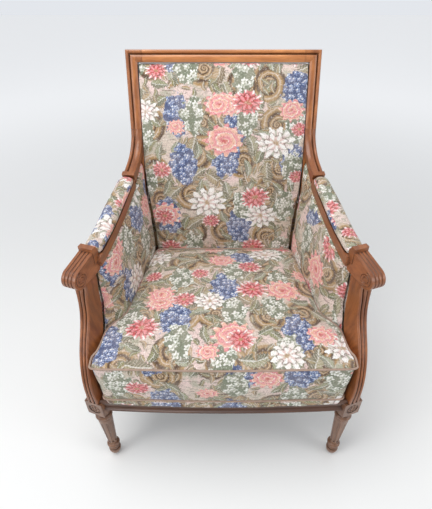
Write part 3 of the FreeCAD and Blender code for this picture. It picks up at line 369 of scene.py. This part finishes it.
    def blossoms(self, board: Board, place: Socket, under: Socket,
                 shift: tuple[float, float], pitch: float, sizes: tuple[float, float],
                 tints: tuple[Colour, Colour], share: float) -> Socket:
        """Full many-petalled flowers in two rows, and wound roses among them."""
        local, chance = self.cell(board, place, pitch, shift, 0.6)
        squeezed = board.vector("MULTIPLY", local, (0.9, 1.15, 0.0))
        radius, angle = self.polar(board, squeezed, board.times(chance[2], FULL_TURN))
        size = board.plus(sizes[0], board.times(chance[1], sizes[1]))
        ragged = board.times(board.minus(board.noise(place, 85.0, 4.0), 0.5), 0.55)
        out = board.plus(board.math("DIVIDE", radius, size), ragged)
        outer = board.math("COSINE", board.times(angle, 11.0))
        inner = board.math("COSINE", board.plus(board.times(angle, 7.0), 1.2))
        edge = board.minus(board.plus(0.90, board.times(outer, 0.13)), out)
        core = board.minus(board.plus(0.52, board.times(inner, 0.10)), out)
        petal = board.mix(board.ease(out, 0.30, 0.95), tints[0], tints[1])
        cleft = self.coral if tints[0] == self.coral else self.sage
        petal = board.mix(board.ease(outer, -1.0, -0.35, 0.75, 0.0), petal, cleft)
        tip = board.times(board.ease(outer, 0.45, 1.0), board.ease(out, 0.5, 0.9))
        petal = board.mix(tip, petal, self.white)
        heart = board.mix(board.ease(inner, -0.8, 0.8), tints[0], tints[1])
        heart = board.mix(board.ease(out, 0.05, 0.26, 0.85, 0.0), heart, self.ochre)
        petal = board.mix(board.ease(core, 0.0, 0.04), petal, heart)
        rim = board.times(board.ease(core, -0.10, -0.01), board.ease(core, 0.0, 0.04, 0.75, 0.0))
        petal = board.mix(rim, petal, self.umber)
        turn = board.plus(board.times(out, 3.0), board.math("DIVIDE", angle, 2 * math.pi))
        wound = board.math("FRACT", turn)
        bud = board.mix(board.ease(wound, 0.15, 0.85), self.rose, self.peach)
        bud = board.mix(board.ease(wound, 0.80, 1.0, 0.0, 0.9), bud, self.white)
        bud = board.mix(board.ease(out, 0.02, 0.25, 0.85, 0.0), bud, self.coral)
        flower = board.mix(board.math("GREATER_THAN", chance[0], share), petal, bud)
        flower = board.mix(board.ease(edge, 0.0, 0.06, 0.6, 0.0), flower, self.umber)
        shown = board.times(board.ease(edge, 0.0, 0.02), board.math("GREATER_THAN", chance[2], 0.20))
        return board.mix(shown, under, flower)

    def brushwork(self, board: Board, cloth: Socket, under: Socket) -> Socket:
        """Dark and pale touches of a few millimetres that make the drawing look painted."""
        dabs = board.noise(board.vector("MULTIPLY", cloth, (260.0, 200.0, 1.0)), 1.0, 4.0, 0.7)
        colour = board.mix(board.ease(dabs, 0.30, 0.47, 0.78, 0.0), under, self.umber)
        colour = board.mix(board.ease(dabs, 0.55, 0.68, 0.0, 0.60), colour, self.white)
        tints = board.noise(board.vector("ADD", cloth, (5.0, 2.0, 0.0)), 30.0, 3.0)
        return board.mix(board.ease(tints, 0.35, 0.70, 0.0, 0.18), colour, self.parchment)

    def threads(self, board: Board, cloth: Socket, under: Socket) -> Socket:
        """Uneven tone of the single threads."""
        flecks = board.noise(board.vector("MULTIPLY", cloth, (420.0, 700.0, 1.0)), 1.0, 2.0)
        return board.shade(under, board.ease(flecks, 0.25, 0.75, 0.80, 1.18))


def new_material(name: str) -> tuple[bpy.types.Material, Board, bpy.types.Node]:
    """An empty material with its shader joined.

    Args:
        name: the material's name.

    Returns:
        The material, a board on its tree and its shader node.
    """
    material = bpy.data.materials.new(name)
    material.use_nodes = True
    board = Board(material.node_tree)
    shader = material.node_tree.nodes["Principled BSDF"]
    return material, board, shader


# Cloth pieces


@dataclass(frozen=True)
class Panel:
    """A flat cut of cloth: the way it faces, and the directions its pattern runs in."""

    facing: tuple[float, float, float]
    right: tuple[float, float, float]
    up: tuple[float, float, float]
    shift: tuple[float, float] = (0.0, 0.0)


# The last pair of each cut is the place on the cloth that it is cut from.
TOP_CUT = Panel((0, 0, 1), (1, 0, 0), (0, 1, 0), (0.31, 0.12))
UNDER_CUT = Panel((0, 0, -1), (1, 0, 0), (0, 1, 0), (0.9, 0.3))
FRONT_CUT = Panel((0, -1, 0), (1, 0, 0), (0, 0, 1), (0.31, 0.44))
REAR_CUT = Panel((0, 1, 0), (-1, 0, 0), (0, 0, 1), (1.7, 0.2))
RIGHT_CUT = Panel((1, 0, 0), (0, 1, 0), (0, 0, 1), (0.6, 1.1))
LEFT_CUT = Panel((-1, 0, 0), (0, -1, 0), (0, 0, 1), (1.3, 1.1))
ALL_CUTS = (TOP_CUT, UNDER_CUT, FRONT_CUT, REAR_CUT, RIGHT_CUT, LEFT_CUT)


def limit(value: float) -> float:
    """A number kept between nought and one."""
    return max(0.0, min(1.0, value))


def map_cloth(piece: bpy.types.Object, cuts: Sequence[Panel]) -> None:
    """Write the piece's cloth map in metres, each face on the cut that faces most its way."""
    mesh = piece.data
    layer = mesh.uv_layers.new(name="cloth")
    for face in mesh.polygons:
        cut = max(cuts, key=lambda panel: face.normal.dot(Vector(panel.facing)))
        right, up = Vector(cut.right), Vector(cut.up)
        for index in face.loop_indices:
            spot = mesh.vertices[mesh.loops[index].vertex_index].co
            layer.data[index].uv = (spot.dot(right) + cut.shift[0], spot.dot(up) + cut.shift[1])


def from_bmesh(shape: bmesh.types.BMesh, name: str) -> bpy.types.Object:
    """A linked object of a bmesh, which is freed."""
    mesh = bpy.data.meshes.new(name)
    shape.to_mesh(mesh)
    shape.free()
    piece = bpy.data.objects.new(name, mesh)
    bpy.context.scene.collection.objects.link(piece)
    return piece


def make_active(piece: bpy.types.Object) -> None:
    """Select only this piece."""
    bpy.ops.object.select_all(action="DESELECT")
    piece.select_set(True)
    bpy.context.view_layer.objects.active = piece


def remesh(piece: bpy.types.Object, pitch: float) -> None:
    """Give a closed piece an even mesh."""
    make_active(piece)
    piece.data.remesh_voxel_size = pitch
    bpy.ops.object.voxel_remesh()


def relax(piece: bpy.types.Object, rounds: int) -> None:
    """Smooth a piece's mesh."""
    shape = bmesh.new()
    shape.from_mesh(piece.data)
    for _ in range(rounds):
        bmesh.ops.smooth_vert(shape, verts=shape.verts, factor=0.5,
                              use_axis_x=True, use_axis_y=True, use_axis_z=True)
    shape.to_mesh(piece.data)
    shape.free()


def copy_of(node: str, name: str) -> bpy.types.Object:
    """A merged copy of a construction piece."""
    shape = bmesh.new()
    shape.from_mesh(frame["nodes"][node].data)
    bmesh.ops.remove_doubles(shape, verts=shape.verts, dist=0.00002)
    bmesh.ops.recalc_face_normals(shape, faces=shape.faces)
    return from_bmesh(shape, name)


def subdivide(piece: bpy.types.Object) -> None:
    """One level of smooth subdivision, applied."""
    make_active(piece)
    smooth = piece.modifiers.new("smooth", "SUBSURF")
    smooth.levels = 1
    smooth.render_levels = 1
    bpy.ops.object.modifier_apply(modifier="smooth")


@dataclass(frozen=True)
class Stuffing:
    """How firmly a piece is filled and how far its cover may move."""

    pressure: float = 3.0
    spare_cloth: float = 0.012
    reach: float = 0.010
    frames: int = 18
    bend: float = 0.6


def stuff(piece: bpy.types.Object, held: Callable[[Vector, Vector], bool], stuffing: Stuffing) -> None:
    """Fill a cover by a short cloth simulation with its seams held, then cap how far it moved.

    Args:
        piece: the closed cover.
        held: says for a place and its normal whether that place is held.
        stuffing: how firm the filling is.
    """
    rest = [vertex.co.copy() for vertex in piece.data.vertices]
    pins = piece.vertex_groups.new(name="held")
    pins.add([v.index for v in piece.data.vertices if held(v.co, v.normal)], 1.0, "REPLACE")
    cloth = piece.modifiers.new("cover", "CLOTH")
    settings = cloth.settings
    settings.vertex_group_mass = "held"
    settings.quality = 4
    settings.mass = 0.25
    settings.tension_stiffness = 12.0
    settings.compression_stiffness = 12.0
    settings.shear_stiffness = 5.0
    settings.bending_stiffness = stuffing.bend
    settings.shrink_min = -stuffing.spare_cloth
    settings.use_pressure = True
    settings.uniform_pressure_force = stuffing.pressure
    settings.effector_weights.gravity = 0.0
    cloth.collision_settings.use_collision = False
    cloth.collision_settings.use_self_collision = False
    cloth.point_cache.frame_start = 1
    cloth.point_cache.frame_end = stuffing.frames
    scene = bpy.context.scene
    for number in range(1, stuffing.frames + 1):
        scene.frame_set(number)
    make_active(piece)
    bpy.ops.object.modifier_apply(modifier="cover")
    scene.frame_set(1)
    for vertex, start in zip(piece.data.vertices, rest):
        move = vertex.co - start
        if move.length > 1e-9:
            share = stuffing.reach * math.tanh(move.length / stuffing.reach)
            vertex.co = start + move.normalized() * share
    piece.vertex_groups.clear()


def welt(name: str, path: Sequence[Vector], thick: float) -> bpy.types.Object:
    """Piping along a seam that runs round in a ring.

    Args:
        name: the piece's name.
        path: points along the seam, in order.
        thick: the piping's thickness.

    Returns:
        The piping as a mesh.
    """
    curve = bpy.data.curves.new(name, "CURVE")
    curve.dimensions = "3D"
    curve.bevel_depth = thick / 2
    curve.bevel_resolution = 3
    line = curve.splines.new("POLY")
    line.points.add(len(path) - 1)
    for point, spot in zip(line.points, path):
        point.co = (*spot, 1.0)
    line.use_cyclic_u = True
    piece = bpy.data.objects.new(name, curve)
    bpy.context.scene.collection.objects.link(piece)
    make_active(piece)
    bpy.ops.object.convert(target="MESH")
    return bpy.context.view_layer.objects.active


def smooth_faces(piece: bpy.types.Object) -> None:
    """Shade every face smooth."""
    piece.data.polygons.foreach_set("use_smooth", [True] * len(piece.data.polygons))


def finish_soft(piece: bpy.types.Object, material: bpy.types.Material, body: str,
                nodes: Sequence[str] = ()) -> bpy.types.Object:
    """Dress a soft piece, join it to its body and hide the construction pieces it stands for.

    Args:
        piece: the mesh in place.
        material: its cloth.
        body: the body that it moves with.
        nodes: the construction pieces it stands for.

    Returns:
        The same piece.
    """
    smooth_faces(piece)
    piece.data.materials.clear()
    piece.data.materials.append(material)
    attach(piece, body)
    if nodes:
        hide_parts(*nodes)
    log.info("%s: %d faces on %s", piece.name, len(piece.data.polygons), body)
    return piece


# Seat cushion


@dataclass(frozen=True)
class Ring:
    """One outline of the cushion: its height, how far it is drawn in, and how far its ears reach."""

    height: float
    inset: float
    ear: float


@dataclass
class SeatCushion:
    """Loose T-shaped cushion with piped seams."""

    low: float = 0.3094
    front: float = -0.335
    tilt: float = math.radians(2.0)
    foot: Ring = Ring(0.0, 0.006, 0.304)
    waist: Ring = Ring(0.061, 0.002, 0.3045)
    brim: Ring = Ring(0.122, 0.003, 0.3105)
    bottom_seam: Ring = Ring(0.0010, 0.0050, 0.3050)
    top_seam: Ring = Ring(0.122, 0.0012, 0.3115)
    crown: float = 0.022
    crown_ease: float = 0.15
    welt_thick: float = 0.0050
    pitch: float = 0.0055
    step: float = 0.006
    seam_cell: float = 0.012
    seam_hold: float = 0.0052
    material: Optional[bpy.types.Material] = None
    piping: Optional[bpy.types.Material] = None

    def corners(self, inset: float, ear: float) -> list[Vector]:
        """Corner points of the flat outline, counterclockwise from the middle of the front."""
        front = [(0.0, -0.3415), (0.10, -0.3400), (0.20, -0.3375), (0.283, -0.3360)]
        corner = [(ear - 0.0045, -0.3325), (ear - 0.0005, -0.3225), (ear, -0.2980),
                  (min(ear, self.waist.ear), -0.282)]
        behind_ear = [(0.3005, -0.256), (0.2985, -0.225), (0.2925, -0.203), (0.281, -0.185), (0.267, -0.170)]
        side = [(0.2575, -0.152), (0.2540, -0.125), (0.246, -0.060), (0.236, 0.010), (0.226, 0.080)]
        rear = [(0.2175, 0.124), (0.2100, 0.1375), (0.197, 0.143), (0.10, 0.1445), (0.0, 0.145)]
        half = []
        for x, y in front + corner + behind_ear + side + rear:
            across = x - inset if x > 0.15 else x
            along = y + inset if y < -0.31 else y - inset if y > 0.13 else y
            half.append((across, along))
        return [Vector(spot) for spot in half + [(-x, y) for x, y in reversed(half[1:-1])]]

    def outline(self, inset: float, ear: float) -> list[Vector]:
        """Smooth outline in steps of a few millimetres, the same number of them at every level."""
        ring = self.corners(inset, ear)
        plain = self.corners(0.0, self.foot.ear)
        smooth: list[Vector] = []
        count = len(ring)
        for index in range(count):
            before, here, after, later = (ring[(index + step) % count] for step in (-1, 0, 1, 2))
            parts = max(1, round((plain[(index + 1) % count] - plain[index]).length / self.step))
            for part in range(parts):
                t = part / parts
                smooth.append(0.5 * (2 * here + (after - before) * t
                                     + (2 * before - 5 * here + 4 * after - later) * t * t
                                     + (3 * here - before - 3 * after + later) * t * t * t))
        return smooth

    def place(self, flat: Vector, height: float) -> Vector:
        """A point over the tilted deck."""
        lean = math.tan(self.tilt) * (flat.y - self.front)
        return Vector((flat.x, flat.y + height * math.sin(self.tilt), self.low + height - lean))

    def spots(self, ring: Ring) -> list[Vector]:
        """Points in space of one outline."""
        return [self.place(flat, ring.height) for flat in self.outline(ring.inset, ring.ear)]

    def block(self) -> bpy.types.Object:
        """The closed block that the cushion is filled from."""
        rings = [self.spots(ring) for ring in (self.foot, self.waist, self.brim)]
        shape = bmesh.new()
        foot = bmesh.ops.create_circle(shape, cap_ends=False, radius=1.0, segments=len(rings[0]))
        for vertex, spot in zip(foot["verts"], rings[0]):
            vertex.co = spot
        edges = list(shape.edges)
        for below, above in zip(rings, rings[1:]):
            order = {tuple(round(part, 5) for part in spot): number for number, spot in enumerate(below)}
            grown = bmesh.ops.extrude_edge_only(shape, edges=edges)["geom"]
            edges = [item for item in grown if isinstance(item, bmesh.types.BMEdge)]
            for vertex in (item for item in grown if isinstance(item, bmesh.types.BMVert)):
                vertex.co = above[order[tuple(round(part, 5) for part in vertex.co)]]
        bmesh.ops.holes_fill(shape, edges=shape.edges, sides=0)
        bmesh.ops.recalc_face_normals(shape, faces=shape.faces)
        bmesh.ops.triangulate(shape, faces=[face for face in shape.faces if len(face.verts) > 4])
        return from_bmesh(shape, "seat_cushion_cover")

    def holder(self, seams: Sequence[Sequence[Vector]]) -> Callable[[Vector, Vector], bool]:
        """A test of whether a place is on a seam or on the deck."""
        near = [(round(spot.x, 4), round(spot.y, 4), round(spot.z, 4)) for seam in seams for spot in seam]
        grid = {tuple(int(part // self.seam_cell) for part in spot) for spot in near}
        stitches = [Vector(spot) for spot in near]

        def held(spot: Vector, normal: Vector) -> bool:
            """Whether this place, whose surface faces this way, stays where it is."""
            if normal.z < -0.8:
                return True
            cell = tuple(int(part // self.seam_cell) for part in spot)
            close = any((cell[0] + i, cell[1] + j, cell[2] + k) in grid
                        for i in (-1, 0, 1) for j in (-1, 0, 1) for k in (-1, 0, 1))
            return close and any((spot - stitch).length < self.seam_hold for stitch in stitches)

        return held

    def build(self) -> None:
        """Make the filled cover and its piping."""
        cover = self.block()
        seams = {"cushion_welt_bottom": self.spots(self.bottom_seam),
                 "cushion_welt_top": self.spots(self.top_seam)}
        remesh(cover, self.pitch)
        relax(cover, 1)
        self.crown_top(cover)
        filling = Stuffing(pressure=4.0, spare_cloth=0.012, reach=0.011, bend=0.8)
        stuff(cover, self.holder(list(seams.values())), filling)
        subdivide(cover)
        map_cloth(cover, ALL_CUTS)
        finish_soft(cover, self.material, CUSHION, ["seat_cushion"])
        for name, seam in seams.items():
            finish_soft(welt(name, seam, self.welt_thick), self.piping, CUSHION)

    def crown_top(self, cover: bpy.types.Object) -> None:
        """Raise the top panel to a soft crown that dies away towards its edges."""
        for vertex in cover.data.vertices:
            lean = math.tan(self.tilt) * (vertex.co.y - self.front)
            height = vertex.co.z + lean - self.low
            if height > self.brim.height - 0.004:
                side = 0.258 + 0.045 * limit((-0.15 - vertex.co.y) / 0.06)
                across = max(0.0, 1.0 - (abs(vertex.co.x) / side) ** 2)
                front = limit((vertex.co.y + 0.338) / self.crown_ease)
                rear = limit((0.147 - vertex.co.y) / self.crown_ease)
                ease = math.sin(math.pi / 2 * front) * math.sin(math.pi / 2 * rear)
                vertex.co.z += self.crown * across ** 0.5 * ease


# Fixed upholstery


@dataclass
class FixedUpholstery:
    """Stuffed back, sides and arm pads, the covered outsides and the deck."""

    material: Optional[bpy.types.Material] = None
    rake: float = math.radians(17.5)
    flare: float = math.radians(7.8)
    tuck_reach: float = 0.0075
    tuck_run: float = 0.035
    tuck_low: float = 0.425
    tuck_rise: float = 0.04
    tuck_band: float = 0.01

    def build(self) -> None:
        """Make every fixed soft piece."""
        self.inside_back()
        for side, way in (("right", 1.0), ("left", -1.0)):
            self.arm_covers(side, way)
        self.flat("outside_back", "outside_back_cover", 0.0032, [REAR_CUT, FRONT_CUT])
        self.flat("seat_deck", "seat_deck_cover", 0.0050, list(ALL_CUTS))

    def inside_back(self) -> None:
        """Stuffed back, whose cloth runs up the rake."""
        up = (0.0, math.sin(self.rake), math.cos(self.rake))
        out = (0.0, -math.cos(self.rake), math.sin(self.rake))
        back = [Panel(out, (1, 0, 0), up, (0.14, 0.52)), REAR_CUT, RIGHT_CUT, LEFT_CUT, TOP_CUT]
        self.stuffed("back_pad", "inside_back_cover", 0.0055, out, 0.75, back, Stuffing(2.5, 0.006, 0.007))

    def arm_covers(self, side: str, way: float) -> None:
        """Inside, pad and outside of one arm.

        Args:
            side: the side's name in the pieces.
            way: 1 on the right and -1 on the left.
        """
        inward = (-way * math.cos(self.flare), -math.sin(self.flare), 0.0)
        along = (way * math.sin(self.flare), -math.cos(self.flare), 0.0)
        run = tuple(-way * part for part in along)
        cuts = [Panel(inward, run, (0, 0, 1), (0.83 + way * 0.3, 0.27)), FRONT_CUT, REAR_CUT,
                Panel((way, 0, 0), (0, way, 0), (0, 0, 1), (0.4, 0.9)), TOP_CUT]
        self.stuffed(f"inner_side_{side}", f"inside_arm_cover_{side}", 0.0055, inward, 0.7, cuts,
                     Stuffing(2.5, 0.006, 0.006), self.tuck)
        pad_cut = Panel((0, 0, 1), (-along[1], along[0], 0), along, (0.22 + way * 0.41, 0.65))
        self.stuffed(f"arm_pad_{side}", f"arm_pad_cover_{side}", 0.0032, (0, 0, 1), 0.3,
                     [pad_cut, *ALL_CUTS[1:]], Stuffing(2.0, 0.004, 0.003))
        self.flat(f"outer_side_{side}", f"outside_arm_cover_{side}", 0.0030,
                  [Panel((way, 0, 0), (0, way, 0), (0, 0, 1), (0.75, 0.2)),
                   Panel((-way, 0, 0), (0, -way, 0), (0, 0, 1), (0.1, 0.2))])

    def stuffed(self, node: str, name: str, pitch: float, facing: Sequence[float], turn: float,
                cuts: Sequence[Panel], stuffing: Stuffing,
                shape: Optional[Callable[[bpy.types.Object], None]] = None) -> bpy.types.Object:
        """A stuffed panel whose face swells while its back and rim are held.

        Args:
            node: the construction piece it stands for.
            name: the cover's name.
            pitch: the mesh's step.
            facing: the way that the face looks.
            turn: how squarely a place has to look that way to be free to swell.
            cuts: the flat cuts of its cloth.
            stuffing: how firm the filling is.
            shape: a last change to the mesh before it is filled.

        Returns:
            The dressed panel.
        """
        piece = copy_of(node, name)
        remesh(piece, pitch)
        relax(piece, 3)
        if shape is not None:
            shape(piece)
        ahead = Vector(facing)
        stuff(piece, lambda spot, normal: normal.dot(ahead) < turn, stuffing)
        subdivide(piece)
        map_cloth(piece, cuts)
        return finish_soft(piece, self.material, CHAIR, [node])

    def tuck(self, piece: bpy.types.Object) -> None:
        """Draw the front edge of a side cover outward to the arm support, where it is tacked."""
        edge: dict[int, float] = {}
        for vertex in piece.data.vertices:
            row = round(vertex.co.z / self.tuck_band)
            edge[row] = min(edge.get(row, 1.0), vertex.co.y)
        for vertex in piece.data.vertices:
            behind = vertex.co.y - edge[round(vertex.co.z / self.tuck_band)]
            near = max(0.0, 1.0 - behind / self.tuck_run)
            high = limit((vertex.co.z - self.tuck_low) / self.tuck_rise)
            vertex.co.x += math.copysign(self.tuck_reach * near * high, vertex.co.x)

    def flat(self, node: str, name: str, pitch: float, cuts: Sequence[Panel]) -> bpy.types.Object:
        """A flat covered panel."""
        piece = copy_of(node, name)
        remesh(piece, pitch)
        relax(piece, 1)
        map_cloth(piece, cuts)
        return finish_soft(piece, self.material, CHAIR, [node])


# Wood and hidden pieces


@dataclass
class ShowWood:
    """Walnut pieces of the frame, each with the grain along it."""

    def dress(self) -> None:
        """Give every show-wood piece its finish."""
        # The walnut tones step from lightest on the crest rail to darkest on the front rail under the
        # cushion. This is partly the wood's own tone and partly painted light: the lit top pieces are
        # lighter and the shaded front rail is painted darker.
        woods = {
            "front_leg": Walnut("walnut_leg", (0.26, 0.125, 0.065), (0.16, 0.070, 0.035),
                                (0.035, 0.016, 0.010)),
            "rear_post": Walnut("walnut_post", (0.46, 0.165, 0.045), (0.27, 0.085, 0.022)),
            "arm_support": Walnut("walnut_support", (0.32, 0.105, 0.028), (0.185, 0.056, 0.016)),
            "arm": Walnut("walnut_arm", (0.38, 0.130, 0.040), (0.22, 0.070, 0.022), grain=Grain.BACKWARD),
            "crest_rail": Walnut("walnut_crest", (0.68, 0.275, 0.085), (0.42, 0.145, 0.038),
                                 grain=Grain.ACROSS),
            "front_rail": Walnut("walnut_rail", (0.135, 0.056, 0.028), (0.072, 0.029, 0.015),
                                 grain=Grain.ACROSS),
        }
        finishes = {stem: wood.make() for stem, wood in woods.items()}
        for name, node in frame["nodes"].items():
            stem = name.removesuffix("_left").removesuffix("_right")
            material = finishes.get(stem)
            if material is not None:
                dress_node(node, material)


@dataclass
class HiddenPieces:
    """Beech, webbing, dust cloth and steel."""

    def dress(self) -> None:
        """Give the hidden pieces plain finishes by their slots."""
        finishes = {
            "beech": Plain("planed_beech", (0.55, 0.36, 0.18), 0.6).make(),
            "webbing": Plain("jute_webbing", (0.30, 0.20, 0.10), 0.9).make(),
            "black_cloth": Plain("dust_cloth", (0.012, 0.012, 0.012), 0.9).make(),
            "screw_steel": Plain("zinc_steel", (0.55, 0.55, 0.53), 0.35, 1.0).make(),
            "glide_steel": Plain("nickel_steel", (0.50, 0.50, 0.48), 0.3, 1.0).make(),
        }
        for row in frame["record"]["subparts"]:
            material = finishes.get(row["material_slot"])
            if material is not None:
                dress_node(frame["nodes"][row["node"]], material)


def dress_node(node: bpy.types.Object, material: bpy.types.Material) -> None:
    """Replace a construction piece's material."""
    node.data.materials.clear()
    node.data.materials.append(material)
    log.info("%s: %s", node.name, material.name)


# Studio


def seen_directly(board: Board) -> Socket:
    """One for what the camera sees, straight or in a reflection or through glass, and nought otherwise."""
    path = board.node("ShaderNodeLightPath")
    seen = board.math("MAXIMUM", path.outputs["Is Camera Ray"], path.outputs["Is Glossy Ray"])
    return board.math("MAXIMUM", seen, path.outputs["Is Transmission Ray"])


@dataclass
class Studio:
    """Pale sweep, soft lights and the camera."""

    focal: float = 28.82
    eye: tuple[float, float, float] = (0.0, -0.901, 1.212)
    pitch_down: float = math.radians(38.5)
    shift: tuple[float, float] = (-0.0147, 0.0061)
    floor_colour: Colour = (0.92, 0.92, 0.905)

    def build(self) -> None:
        """Make the floor, the lights, the world and the camera."""
        self.floor()
        self.lights()
        self.world()
        self.camera()

    def floor(self) -> None:
        """Wide pale floor."""
        shape = bmesh.new()
        bmesh.ops.create_grid(shape, x_segments=1, y_segments=1, size=8.0)
        ground = from_bmesh(shape, "studio_floor")
        material, board, shader = new_material("pale_floor")
        shader.inputs["Base Color"].default_value = (*self.floor_colour, 1.0)
        place = board.node("ShaderNodeTexCoord").outputs["Object"]
        far = board.ease(board.vector("LENGTH", place), 0.9, 3.6, 0.0, 0.36)
        shader.inputs["Emission Color"].default_value = (0.96, 0.97, 1.0, 1.0)
        board.feed(shader.inputs["Emission Strength"], board.times(far, seen_directly(board)))
        shader.inputs["Roughness"].default_value = 0.85
        shader.inputs["Specular IOR Level"].default_value = 0.1
        ground.data.materials.append(material)

    def lights(self) -> None:
        """A broad overhead light and two softer side lights."""
        for name, spot, aim, size, power in (
                ("overhead_light", (-0.5, -0.5, 2.6), (0.0, 0.0, 0.5), 1.8, 34.0),
                ("left_light", (-2.2, -1.6, 1.6), (0.0, 0.0, 0.5), 1.4, 18.0),
                ("right_light", (2.3, -1.3, 1.5), (0.0, 0.0, 0.5), 1.4, 14.0)):
            lamp = bpy.data.lights.new(name, "AREA")
            lamp.shape = "DISK"
            lamp.size = size
            lamp.energy = power
            holder = bpy.data.objects.new(name, lamp)
            holder.location = spot
            holder.rotation_euler = (Vector(aim) - Vector(spot)).to_track_quat("-Z", "Y").to_euler()
            bpy.context.scene.collection.objects.link(holder)

    def world(self) -> None:
        """Even pale surroundings."""
        world = bpy.data.worlds.new("studio")
        bpy.context.scene.world = world
        world.use_nodes = True
        board = Board(world.node_tree)
        backdrop = world.node_tree.nodes["Background"]
        backdrop.inputs["Color"].default_value = (0.92, 0.95, 1.0, 1.0)
        bright = board.plus(0.50, board.times(seen_directly(board), 0.34))
        board.feed(backdrop.inputs["Strength"], bright)

    def camera(self) -> None:
        """Camera at the photograph's place, which looks down into the seat."""
        lens = bpy.data.cameras.new("camera")
        lens.lens = self.focal
        lens.shift_x, lens.shift_y = self.shift
        holder = bpy.data.objects.new("camera", lens)
        holder.location = self.eye
        holder.rotation_euler = (math.pi / 2 - self.pitch_down, 0.0, 0.0)
        bpy.context.scene.collection.objects.link(holder)
        bpy.context.scene.camera = holder


def main() -> None:
    """Build and dress the whole chair."""
    logging.basicConfig(level=logging.INFO, format="%(name)s %(message)s")
    bpy.context.scene.view_settings.view_transform = "Standard"
    tapestry = Tapestry().make()
    ShowWood().dress()
    HiddenPieces().dress()
    piping = Plain("welt_cloth", (0.44, 0.31, 0.24), 0.85).make()
    SeatCushion(material=tapestry, piping=piping).build()
    FixedUpholstery(material=tapestry).build()
    Studio().build()


if __name__ == "__main__":
    main()
